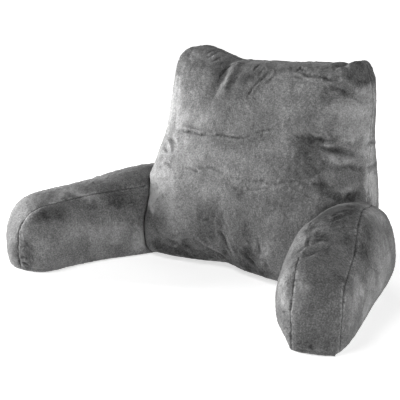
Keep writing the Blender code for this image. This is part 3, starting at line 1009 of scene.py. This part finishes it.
BACK_PATCHES = (
    # Painted light down the left margin and over the full lower left
    NapAndLightPatch(0.30, (-222, -45, 335), (28, 60, 60)),
    NapAndLightPatch(0.20, (-185, -55, 300), (40, 50, 40)),
    NapAndLightPatch(0.12, (-130, -50, 320), (50, 50, 35)),
    NapAndLightPatch(0.20, (-200, -80, 235), (50, 50, 35)),
    NapAndLightPatch(0.14, (-135, -83, 240), (40, 50, 30)),
    NapAndLightPatch(0.26, (-195, -100, 180), (50, 50, 30)),
    NapAndLightPatch(0.22, (-215, -111, 140), (30, 50, 30)),
    NapAndLightPatch(0.16, (-160, -121, 130), (40, 50, 35)),
    NapAndLightPatch(0.18, (-118, -140, 100), (30, 40, 25)),
    NapAndLightPatch(0.22, (-234, -102, 152), (14, 24, 34)),
    # Painted light down the right margin
    NapAndLightPatch(0.18, (238, 0, 375), (30, 45, 25)),
    NapAndLightPatch(0.22, (242, 0, 335), (28, 45, 30)),
    NapAndLightPatch(0.10, (205, -30, 365), (25, 40, 25)),
    NapAndLightPatch(0.20, (250, 45, 290), (18, 30, 35)),
    NapAndLightPatch(0.18, (255, 53, 220), (16, 30, 35)),
    # Darker and lighter bands beside the creases on the right
    NapAndLightPatch(-0.14, (160, -60, 292), (30, 40, 18)),
    NapAndLightPatch(-0.14, (175, -75, 262), (30, 40, 20)),
    NapAndLightPatch(0.10, (230, -64, 243), (22, 30, 12)),
    NapAndLightPatch(-0.14, (219, -81, 212), (30, 30, 14)),
    # Painted shade in the corners and over the top
    NapAndLightPatch(0.06, (-175, 15, 450), (30, 30, 20)),
    NapAndLightPatch(-0.14, (-65, -22, 385), (35, 40, 22)),
    NapAndLightPatch(-0.16, (-19, -9, 417), (20, 30, 18)),
    NapAndLightPatch(-0.10, (78, 3, 436), (60, 20, 10)),
    NapAndLightPatch(-0.10, (150, 0, 436), (40, 20, 14)),
    NapAndLightPatch(-0.22, (230, 46, 438), (38, 52, 25), 3.0),
    NapAndLightPatch(-0.12, (-225, 25, 430), (34, 40, 32)),
    # The foot darkened with painted shade, with a smooth dark patch and a light one beside the
    # gathers
    NapAndLightPatch(-0.24, (-155, -136, 28), (45, 50, 24), 2.5),
    NapAndLightPatch(-0.34, (-88, -129, 24), (45, 50, 28), 2.5),
    NapAndLightPatch(-0.26, (-10, -108, 24), (60, 50, 22), 2.5),
    NapAndLightPatch(-0.16, (-219, -118, 66), (16, 30, 50), 2.0),
    NapAndLightPatch(-0.26, (78, -124, 30), (35, 50, 20)),
    NapAndLightPatch(-0.18, (84, -137, 66), (20, 30, 22)),
    NapAndLightPatch(-0.18, (81, -133, 82), (12, 40, 20)),
    NapAndLightPatch(0.18, (124, -138, 80), (14, 40, 35)),
    NapAndLightPatch(-0.14, (-45, -128, 108), (26, 30, 34)),
    # Smaller places made lighter or darker, with painted highlights along the top edges and the left
    # rim, and painted shade at the foot and over the right arm
    NapAndLightPatch(0.22, (-204, -117, 125), (22, 30, 30)),
    NapAndLightPatch(0.05, (-128, -130, 113), (26, 30, 20)),
    NapAndLightPatch(0.10, (-158, -123, 122), (26, 30, 20)),
    NapAndLightPatch(-0.10, (-40, -7, 417), (22, 30, 16)),
    NapAndLightPatch(-0.08, (-59, -42, 354), (38, 50, 30)),
    NapAndLightPatch(-0.08, (34, -63, 300), (20, 30, 14)),
    NapAndLightPatch(-0.10, (74, -132, 100), (18, 30, 36)),
    NapAndLightPatch(0.09, (-143, -98, 202), (26, 40, 22)),
    NapAndLightPatch(0.08, (-186, -38, 358), (18, 30, 22)),
    NapAndLightPatch(0.10, (-143, -74, 266), (14, 30, 10)),
    NapAndLightPatch(0.13, (240, -17, 307), (14, 24, 10), 2.5),
    NapAndLightPatch(0.16, (256, 63, 209), (12, 44, 36), 2.5),
    NapAndLightPatch(0.13, (240, 8, 408), (14, 24, 12), 2.5),
    NapAndLightPatch(0.16, (247, 46, 413), (20, 40, 13)),
    NapAndLightPatch(0.10, (248, 67, 356), (10, 44, 50), 2.5),
    NapAndLightPatch(-0.16, (72, -125, 59), (30, 30, 24)),
    NapAndLightPatch(-0.12, (39, -124, 43), (20, 30, 16)),
    NapAndLightPatch(-0.10, (41, -130, 67), (12, 30, 20)),
    NapAndLightPatch(-0.16, (194, -4, 432), (26, 30, 12)),
    NapAndLightPatch(-0.14, (-84, -134, 49), (16, 30, 12)),
    NapAndLightPatch(-0.13, (-15, -21, 399), (54, 40, 46)),
    NapAndLightPatch(-0.12, (-19, 18, 438), (40, 30, 14)),
    NapAndLightPatch(0.12, (255, -37, 212), (26, 30, 16)),
    NapAndLightPatch(0.14, (255, 84, 187), (20, 40, 34)),
    NapAndLightPatch(-0.12, (135, -130, 22), (20, 20, 12)),
    NapAndLightPatch(0.15, (248, 69, 258), (14, 40, 24)),
    NapAndLightPatch(0.08, (207, -46, 284), (40, 30, 18)),
    NapAndLightPatch(-0.13, (198, -81, 238), (26, 30, 14)),
    NapAndLightPatch(-0.12, (65, 13, 442), (54, 30, 14)),
    NapAndLightPatch(-0.09, (1, -114, 56), (20, 30, 14)),
    NapAndLightPatch(-0.13, (-215, -17, 407), (14, 40, 18)),
    NapAndLightPatch(-0.11, (47, -65, 296), (24, 30, 24)),
    NapAndLightPatch(0.26, (-207, -118, 123), (14, 30, 24), 2.0),
    NapAndLightPatch(0.12, (-136, -138, 47), (24, 20, 10)),
    NapAndLightPatch(0.13, (-150, 27, 448), (60, 50, 16)),
    NapAndLightPatch(0.13, (257, 76, 176), (14, 40, 24)),
    NapAndLightPatch(0.10, (216, 10, 447), (12, 30, 12)),
    NapAndLightPatch(0.10, (150, 27, 452), (24, 20, 8)),
    NapAndLightPatch(0.10, (38, 21, 443), (34, 20, 8)),
    NapAndLightPatch(0.12, (-62, -109, 24), (30, 20, 10)),
    NapAndLightPatch(0.10, (-65, -11, 409), (14, 30, 20)),
    NapAndLightPatch(-0.11, (211, -75, 248), (18, 30, 12)),
    NapAndLightPatch(0.11, (246, 70, 300), (14, 40, 22)),
    NapAndLightPatch(0.10, (244, -27, 267), (26, 30, 9)),
    NapAndLightPatch(-0.13, (226, 0, 404), (16, 30, 12)),
    NapAndLightPatch(0.12, (-190, 26, 459), (26, 40, 12)),
    NapAndLightPatch(-0.12, (154, -96, 194), (24, 30, 16)),
    NapAndLightPatch(0.13, (256, 79, 156), (14, 40, 14)),
    NapAndLightPatch(-0.13, (259, -24, 193), (20, 30, 14)),
    NapAndLightPatch(0.12, (-40, -108, 33), (16, 20, 10)),
    NapAndLightPatch(-0.11, (-121, -46, 339), (20, 30, 26)),
    NapAndLightPatch(0.07, (131, 21, 449), (24, 30, 8)),
    NapAndLightPatch(-0.05, (237, -89, 173), (24, 30, 12)),
    NapAndLightPatch(0.10, (-217, -132, 47), (12, 30, 28)),
    NapAndLightPatch(-0.09, (4, -118, 119), (56, 60, 56)),
    NapAndLightPatch(-0.07, (-19, -58, 321), (56, 60, 66)),
    NapAndLightPatch(-0.07, (66, -42, 359), (22, 60, 56)),
    NapAndLightPatch(0.10, (-148, -72, 270), (18, 30, 12)),
    NapAndLightPatch(0.12, (-52, -132, 90), (14, 30, 16)),
    NapAndLightPatch(0.09, (-82, -123, 33), (40, 30, 10)),
    NapAndLightPatch(0.12, (172, 24, 452), (18, 20, 8)),
    NapAndLightPatch(0.10, (248, 39, 379), (16, 40, 24)),
    NapAndLightPatch(0.10, (49, 13, 440), (20, 30, 10)),
    NapAndLightPatch(0.12, (-133, 64, 444), (22, 30, 8)),
    NapAndLightPatch(0.08, (-172, -134, 102), (14, 30, 10)),
    NapAndLightPatch(-0.10, (244, 24, 425), (16, 30, 18)),
    NapAndLightPatch(-0.10, (260, -7, 190), (14, 30, 13)),
    NapAndLightPatch(0.10, (-146, -137, 45), (20, 30, 13)),
    NapAndLightPatch(0.10, (-20, -123, 119), (10, 30, 20)),
)

LEFT_SEAMS = LEFT.seams(
    Seam("inner_seam", (
        (7, -59, 6), (5, -56, 43), (6, -60, 74), (14, -61, 103),
        (34, -59, 126), (55, -57, 137), (76, -52, 140), (113, -48, 142),
        (178, -44, 150), (226, -44, 152), (275, -46, 154), (307, -47, 156))),
    Seam("outer_seam", (
        (16, 44, 6), (14, 46, 45), (16, 47, 85), (36, 48, 120),
        (75, 48, 139), (130, 48, 149), (200, 48, 161), (280, 48, 177),
        (360, 46, 184), (430, 28, 183))),
)

# A trough's dark tone is painted shade over its parted pile, and a ridge's light tone a painted
# highlight
LEFT_FOLDS = LEFT.folds(
    # Gathers at the foot of the front end
    Fold(TROUGH, 3.2, 1.8, -0.26, ((8, -62, 18), (14, -75, 19), (21, -86, 15))),
    Fold(TROUGH, 3.2, 1.8, -0.08, ((7, -61, 29), (14, -77, 32), (22, -92, 32))),
    Fold(RIDGE, 3.4, 1.4, 0.10, ((7, -61, 23), (15, -79, 26), (24, -93, 24))),
    Fold(TROUGH, 3.4, 2.0, -0.08, ((10, -64, 10), (22, -84, 9), (41, -101, 8), (65, -104, 6))),
    Fold(TROUGH, 3.0, 1.2, -0.08, ((8, -64, 52), (13, -77, 57), (20, -89, 58))),
    # Darker places under the seam, at the front end and on top
    Fold(BRUSHED, 14.0, 0.0, -0.20, ((54, -74, 130), (58, -87, 121), (60, -96, 110))),
    Fold(BRUSHED, 14.0, 0.0, -0.12, ((90, -67, 133), (94, -81, 125), (101, -89, 112))),
    Fold(BRUSHED, 17.0, 0.0, -0.17, ((215, -64, 130), (250, -66, 124), (286, -67, 123))),
    Fold(BRUSHED, 14.0, 0.0, -0.12, ((148, -61, 137), (174, -66, 130), (203, -65, 127))),
    Fold(BRUSHED, 12.0, 0.0, -0.08, ((17, -75, 107), (15, -79, 78), (14, -78, 46))),
    Fold(BRUSHED, 10.0, 0.0, -0.05, ((83, -35, 147), (106, -38, 147), (125, -36, 149))),
    # Two short creases on top
    Fold(TROUGH, 3.2, 1.4, -0.08, ((200, -5, 166), (202, -14, 164), (207, -17, 163))),
    Fold(TROUGH, 3.4, 1.8, -0.08, ((310, -11, 179), (311, -25, 173), (310, -36, 165))),
)

LEFT_PATCHES = LEFT.patches(
    # The inner panel, with a dark band under its seam
    NapAndLightPatch(0.12, (160, -80, 75), (110, 80, 30)),
    NapAndLightPatch(0.13, (270, -72, 55), (50, 60, 30)),
    NapAndLightPatch(0.10, (75, -110, 65), (45, 50, 35)),
    NapAndLightPatch(-0.14, (75, -76, 122), (26, 30, 13)),
    NapAndLightPatch(-0.10, (185, -62, 130), (50, 50, 12)),
    # The strip, paler along its top and dark at its foot
    NapAndLightPatch(0.17, (135, -28, 154), (50, 50, 14)),
    NapAndLightPatch(0.10, (240, -15, 170), (50, 40, 14)),
    NapAndLightPatch(0.08, (35, -45, 128), (20, 30, 20)),
    NapAndLightPatch(-0.18, (-3, -36, 32), (30, 30, 25)),
    # Smaller places made lighter or darker
    NapAndLightPatch(-0.12, (9, -66, 50), (25, 30, 30)),
    NapAndLightPatch(0.06, (189, -74, 69), (120, 60, 50)),
    NapAndLightPatch(0.06, (111, -36, 149), (80, 30, 16)),
    NapAndLightPatch(0.18, (292, -73, 65), (24, 30, 40)),
    NapAndLightPatch(-0.14, (10, -66, 21), (26, 30, 14)),
    NapAndLightPatch(0.13, (166, -38, 152), (60, 30, 14)),
    NapAndLightPatch(-0.12, (12, -75, 45), (24, 30, 26)),
    NapAndLightPatch(0.10, (292, -73, 65), (20, 30, 40)),
    NapAndLightPatch(0.12, (137, -42, 147), (60, 30, 13)),
    NapAndLightPatch(0.09, (113, -92, 12), (30, 30, 10)),
    NapAndLightPatch(0.12, (297, -72, 37), (14, 30, 18)),
    NapAndLightPatch(0.12, (274, -8, 177), (34, 30, 10)),
    NapAndLightPatch(0.12, (73, -32, 147), (30, 30, 14)),
    NapAndLightPatch(-0.10, (256, -73, 65), (20, 30, 26)),
    NapAndLightPatch(0.11, (174, -65, 132), (24, 30, 14)),
    NapAndLightPatch(-0.12, (243, -64, 129), (26, 30, 18)),
    NapAndLightPatch(-0.10, (284, -66, 128), (18, 30, 18)),
    NapAndLightPatch(0.10, (106, -38, 147), (30, 30, 9)),
    NapAndLightPatch(0.11, (322, -23, 175), (14, 30, 12)),
)

RIGHT_SEAMS = RIGHT.seams(
    Seam("inner_seam", (
        (0, -42, 8), (-2, -43, 45), (0, -42, 75), (4, -41, 97),
        (15, -42, 117), (48, -43, 140), (78, -44, 152))),
    Seam("inner_seam_top", (
        (190, -49, 176), (215, -48, 180), (238, -48, 180), (260, -48, 179))),
    Seam("outer_seam", (
        (8, 48, 8), (4, 50, 40), (3, 51, 67), (8, 52, 97),
        (34, 48, 118), (78, 49, 129), (130, 50, 146), (174, 48, 172),
        (209, 47, 194), (270, 45, 202), (350, 46, 186), (430, 44, 172))),
)

# A trough's dark tone is painted shade over its parted pile, and a ridge's light tone a painted
# highlight
RIGHT_FOLDS = RIGHT.folds(
    # The strip, darkened with painted shade where it faces up, and the creases across its bend
    Fold(BRUSHED, 26.0, 0.0, -0.14, ((185, -45, 178), (190, -16, 191), (206, 6, 200))),
    Fold(BRUSHED, 26.0, 0.0, -0.20, ((138, -35, 170), (164, 10, 182), (181, 33, 183))),
    Fold(RIDGE, 3.0, 1.4, 0.10, ((186, -6, 190), (197, 8, 196), (210, 25, 201), (224, 42, 202))),
    Fold(RIDGE, 3.0, 1.4, 0.07, ((166, -6, 184), (186, 17, 189), (202, 43, 192))),
    Fold(RIDGE, 3.0, 1.4, 0.05, ((203, -7, 198), (222, 19, 206), (241, 37, 206))),
    Fold(RIDGE, 5.0, 5.0, 0.20, (
        (91, -44, 155), (105, -32, 161), (118, -16, 166), (132, 0, 170))),
    Fold(TROUGH, 5.0, 3.0, -0.13, (
        (74, -35, 154), (89, -24, 159), (105, -10, 162), (120, 2, 164))),
    Fold(TROUGH, 4.4, 2.8, -0.09, ((126, 3, 167), (110, 1, 162), (91, 6, 156))),
    Fold(RIDGE, 4.0, 2.0, 0.10, ((76, -25, 156), (76, -5, 155), (81, 13, 151))),
    Fold(RIDGE, 4.6, 2.4, 0.15, ((181, -50, 175), (150, -44, 170), (125, -43, 163))),
    # Small puckers beside the seams and at the foot
    Fold(TROUGH, 3.2, 1.8, -0.08, ((43, -71, 112), (19, -57, 117), (17, -47, 117))),
    Fold(TROUGH, 3.2, 1.8, -0.08, ((21, -64, 71), (10, -54, 72), (-1, -45, 76))),
    Fold(TROUGH, 3.2, 1.6, -0.11, ((14, -57, 40), (5, -49, 40), (0, -43, 41))),
    Fold(TROUGH, 3.2, 1.6, -0.09, ((27, -43, 128), (25, -35, 128), (21, -25, 126))),
    Fold(TROUGH, 3.2, 1.6, -0.08, ((20, -42, 122), (17, -33, 121), (16, -26, 121))),
    Fold(BRUSHED, 9.0, 0.0, -0.18, ((-8, 46, 67), (-5, 46, 45), (-2, 46, 24))),
    Fold(TROUGH, 3.2, 1.8, -0.12, ((-15, -3, 25), (-14, -2, 17), (-12, -5, 9))),
    Fold(TROUGH, 3.2, 1.4, -0.08, ((-6, -28, 8), (-10, -11, 7), (-13, 11, 8), (-11, 32, 9))),
    # Lighter and darker places and creases of the outer panel, with painted light on the collar
    Fold(BRUSHED, 12.0, 0.0, 0.15, ((22, -61, 111), (16, -59, 90), (12, -57, 73))),
    Fold(BRUSHED, 15.0, 0.0, 0.18, ((248, 50, 202), (282, 59, 192), (279, 72, 182))),
    Fold(BRUSHED, 20.0, 0.0, -0.18, ((211, 63, 181), (189, 67, 160), (153, 67, 139))),
    Fold(BRUSHED, 7.0, 0.0, 0.17, ((259, 83, 150), (262, 87, 125), (246, 88, 101))),
    Fold(BRUSHED, 6.0, 0.0, 0.15, ((226, 79, 146), (225, 82, 125), (211, 81, 103))),
    Fold(TROUGH, 3.4, 1.8, -0.10, ((331, 84, 142), (337, 90, 122), (331, 93, 106))),
    Fold(RIDGE, 3.6, 1.6, 0.05, ((276, 84, 149), (284, 88, 127), (285, 91, 102))),
    Fold(BRUSHED, 16.0, 0.0, 0.14, ((49, 59, 105), (86, 67, 94), (124, 74, 86))),
    Fold(BRUSHED, 10.0, 0.0, -0.01, ((102, 45, 137), (101, 56, 127), (115, 67, 114))),
    Fold(TROUGH, 3.2, 1.2, -0.08, ((151, 69, 132), (182, 77, 109), (225, 85, 91))),
    # Darker and lighter places where the arm meets the backrest, the darker ones painted shade, and
    # the fold over its seam
    Fold(BRUSHED, 16.0, 0.0, -0.26, (
        (284, -38, 185), (275, -16, 197), (276, 9, 204), (288, 30, 204))),
    Fold(BRUSHED, 16.0, 0.0, -0.16, ((126, 9, 165), (151, 29, 169), (174, 48, 172))),
    Fold(TROUGH, 4.0, 2.0, -0.05, (
        (205, -51, 178), (166, -46, 173), (138, -41, 168), (114, -32, 163))),
    Fold(BRUSHED, 10.0, 0.0, 0.16, ((192, -62, 169), (154, -56, 164), (133, -56, 158))),
)

RIGHT_PATCHES = RIGHT.patches(
    # The strip: very dark with painted shade where it faces up, pale at the bend, darker down its
    # middle
    NapAndLightPatch(-0.24, (236, -10, 206), (86, 80, 34)),
    NapAndLightPatch(-0.14, (140, -22, 174), (20, 20, 14)),
    NapAndLightPatch(-0.13, (55, 34, 135), (20, 16, 20)),
    NapAndLightPatch(0.17, (26, -47, 130), (24, 16, 30)),
    NapAndLightPatch(0.16, (9, -30, 114), (20, 18, 20)),
    NapAndLightPatch(-0.08, (-15, -18, 45), (30, 30, 35)),
    # The inner panel, with painted light above
    NapAndLightPatch(0.12, (20, -60, 100), (30, 30, 30)),
    # The outer panel: a collar lightened with painted light, a dark middle, a light end
    NapAndLightPatch(0.12, (265, 60, 198), (30, 30, 14)),
    NapAndLightPatch(-0.12, (205, 70, 160), (30, 30, 20)),
    NapAndLightPatch(-0.13, (150, 67, 136), (26, 30, 20)),
    NapAndLightPatch(0.15, (79, 66, 90), (35, 30, 25)),
    NapAndLightPatch(0.10, (137, 77, 82), (30, 30, 25)),
    # Smaller places made lighter or darker, with painted light on the collar and painted shade over
    # the top of the strip
    NapAndLightPatch(-0.18, (230, -28, 195), (30, 40, 16)),
    NapAndLightPatch(-0.16, (251, 14, 207), (50, 50, 14)),
    NapAndLightPatch(0.13, (225, 86, 87), (60, 30, 26)),
    NapAndLightPatch(-0.09, (139, 44, 153), (18, 16, 34)),
    NapAndLightPatch(0.10, (290, 90, 117), (50, 20, 40)),
    NapAndLightPatch(0.13, (41, -45, 138), (12, 16, 12)),
    NapAndLightPatch(-0.13, (82, -44, 153), (22, 20, 16)),
    NapAndLightPatch(0.12, (160, 79, 75), (40, 30, 40)),
    NapAndLightPatch(0.13, (367, 71, 169), (30, 30, 20)),
    NapAndLightPatch(-0.12, (176, -40, 179), (16, 20, 18)),
    NapAndLightPatch(0.18, (342, 57, 183), (34, 50, 16)),
    NapAndLightPatch(0.10, (310, 74, 172), (20, 40, 16)),
    NapAndLightPatch(0.20, (167, -2, 184), (30, 36, 18)),
    NapAndLightPatch(0.15, (234, 54, 198), (20, 30, 16)),
    NapAndLightPatch(0.12, (274, 92, 77), (30, 40, 44)),
    NapAndLightPatch(0.13, (121, 76, 52), (30, 30, 30)),
    NapAndLightPatch(0.14, (43, -40, 140), (18, 16, 12)),
    NapAndLightPatch(-0.11, (-10, 38, 24), (14, 20, 22)),
    NapAndLightPatch(-0.12, (192, -30, 187), (26, 40, 18)),
    NapAndLightPatch(0.12, (38, 61, 79), (24, 30, 34)),
    NapAndLightPatch(0.10, (222, 83, 112), (30, 30, 50)),
    NapAndLightPatch(0.10, (189, 0, 192), (20, 30, 12)),
    NapAndLightPatch(0.12, (311, 69, 179), (24, 40, 14)),
    NapAndLightPatch(-0.12, (23, 2, 129), (12, 20, 12)),
    NapAndLightPatch(-0.10, (105, -64, 146), (10, 30, 20)),
    NapAndLightPatch(-0.09, (-14, 0, 18), (24, 20, 10)),
    NapAndLightPatch(0.11, (109, 74, 45), (20, 40, 22)),
    NapAndLightPatch(0.11, (220, 85, 54), (20, 40, 24)),
    NapAndLightPatch(0.12, (398, 54, 173), (16, 30, 12)),
    NapAndLightPatch(0.09, (346, 93, 112), (12, 40, 30)),
    NapAndLightPatch(0.12, (296, 63, 187), (15, 30, 13)),
    NapAndLightPatch(0.06, (172, -24, 183), (16, 30, 16)),
)


@dataclass
class Pillow:
    """The whole pillow: the backrest and both arms, in one plush."""

    backrest: PlushCover = field(default_factory=lambda: PlushCover(
        node="backrest",
        filling=Filling(
            voxel=0.0060, inset=0.0030, pressure=5.0, cap=0.0080, fill=0.8, stretch=15.0),
        seams=BACK_SEAMS, folds=BACK_FOLDS, patches=BACK_PATCHES,
        neighbours=("arm_left", "arm_right"), seed=3.0, seam_hold=0.0, groove=0.0011,
    ))
    arm_left: PlushCover = field(default_factory=lambda: PlushCover(
        node="arm_left",
        filling=Filling(
            voxel=0.0050, inset=0.0020, pressure=30.0, cap=0.0060, fill=0.8, stretch=1.5),
        seams=LEFT_SEAMS, folds=LEFT_FOLDS, patches=LEFT_PATCHES,
        neighbours=("backrest",), seed=7.0,
    ))
    arm_right: PlushCover = field(default_factory=lambda: PlushCover(
        node="arm_right",
        filling=Filling(
            voxel=0.0050, inset=0.0020, pressure=30.0, cap=0.0060, fill=0.75, stretch=1.5),
        seams=RIGHT_SEAMS, folds=RIGHT_FOLDS, patches=RIGHT_PATCHES,
        neighbours=("backrest",), seed=11.0,
    ))

    def build(self) -> None:
        """Builds the covers in one plush, with one thread."""
        plush, thread = PlushFinish().build(), ThreadFinish().build()
        for cover in (self.backrest, self.arm_left, self.arm_right):
            cover.build(plush, thread)


@dataclass
class Studio:
    """A white floor, soft light from the left and a fill from the right, and the camera."""

    azimuth: float = 40.0
    elevation: float = 14.1
    camera_place: Point = (1.564, -2.064, 0.790)
    lens: float = 108.63
    floor_size: float = 30.0
    sky: float = 0.06
    backdrop: float = 1.10
    lamps: tuple[tuple[str, Point, float, float], ...] = (
        ("low_left_lamp", (-2.1, -0.8, 0.45), 0.8, 108.0),
        ("high_front_lamp", (0.0, -1.8, 2.2), 1.0, 26.0),
        ("back_left_lamp", (-1.7, 1.6, 1.0), 1.0, 26.0),
        ("right_lamp", (2.2, 0.4, 0.9), 1.0, 21.0),
    )

    def build(self) -> None:
        """Makes the floor, the lights and the camera."""
        self.lay_floor()
        self.light()
        self.aim_camera()

    def lay_floor(self) -> None:
        """Lays one large plain sheet just under the pillow."""
        plane = bmesh.new()
        bmesh.ops.create_grid(plane, x_segments=1, y_segments=1, size=self.floor_size / 2)
        bmesh.ops.translate(plane, verts=plane.verts, vec=(0.0, 0.0, -0.0005))
        mesh = bpy.data.meshes.new("floor")
        plane.to_mesh(mesh)
        plane.free()
        mesh.materials.append(FloorFinish().build())
        floor = bpy.data.objects.new("floor", mesh)
        bpy.context.scene.collection.objects.link(floor)

    def light(self) -> None:
        """Aims soft square lamps at the pillow, before a white backdrop that gives no light."""
        world = bpy.data.worlds.new("studio")
        world.use_nodes = True
        nodes, links = world.node_tree.nodes, world.node_tree.links
        sky = nodes["Background"]
        sky.inputs["Color"].default_value = (1.0, 1.0, 1.0, 1.0)
        seen = nodes.new("ShaderNodeMapRange")
        seen.inputs["To Min"].default_value = self.sky
        seen.inputs["To Max"].default_value = self.backdrop
        links.new(nodes.new("ShaderNodeLightPath").outputs["Is Camera Ray"], seen.inputs["Value"])
        links.new(seen.outputs["Result"], sky.inputs["Strength"])
        scene = bpy.context.scene
        scene.world = world
        scene.view_settings.view_transform = "Standard"
        for name, place, size, power in self.lamps:
            lamp = bpy.data.lights.new(name, "AREA")
            lamp.size = size
            lamp.energy = power
            holder = bpy.data.objects.new(name, lamp)
            holder.location = place
            aim = Vector((0.0, -0.1, 0.2)) - Vector(place)
            holder.rotation_euler = aim.to_track_quat("-Z", "Y").to_euler()
            scene.collection.objects.link(holder)

    def aim_camera(self) -> None:
        """Sets up the camera at the viewing angle of the photograph."""
        turn, tilt = math.radians(self.azimuth), math.radians(self.elevation)
        back = Vector((
            math.sin(turn) * math.cos(tilt), -math.cos(turn) * math.cos(tilt), math.sin(tilt)
        ))
        lens = bpy.data.cameras.new("camera")
        lens.lens = self.lens
        lens.sensor_width = 36.0
        lens.clip_end = 60.0
        camera = bpy.data.objects.new("camera", lens)
        camera.location = self.camera_place
        camera.rotation_euler = (-back).to_track_quat("-Z", "Y").to_euler()
        bpy.context.scene.collection.objects.link(camera)
        bpy.context.scene.camera = camera


def main() -> None:
    """Builds the covers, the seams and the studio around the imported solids, and notes the sizes."""
    logging.basicConfig(level=logging.INFO, format="%(name)s: %(message)s")
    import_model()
    noise.seed_set(NOISE_SEED)
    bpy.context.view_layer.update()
    Pillow().build()
    Studio().build()


if __name__ == "__main__":
    main()
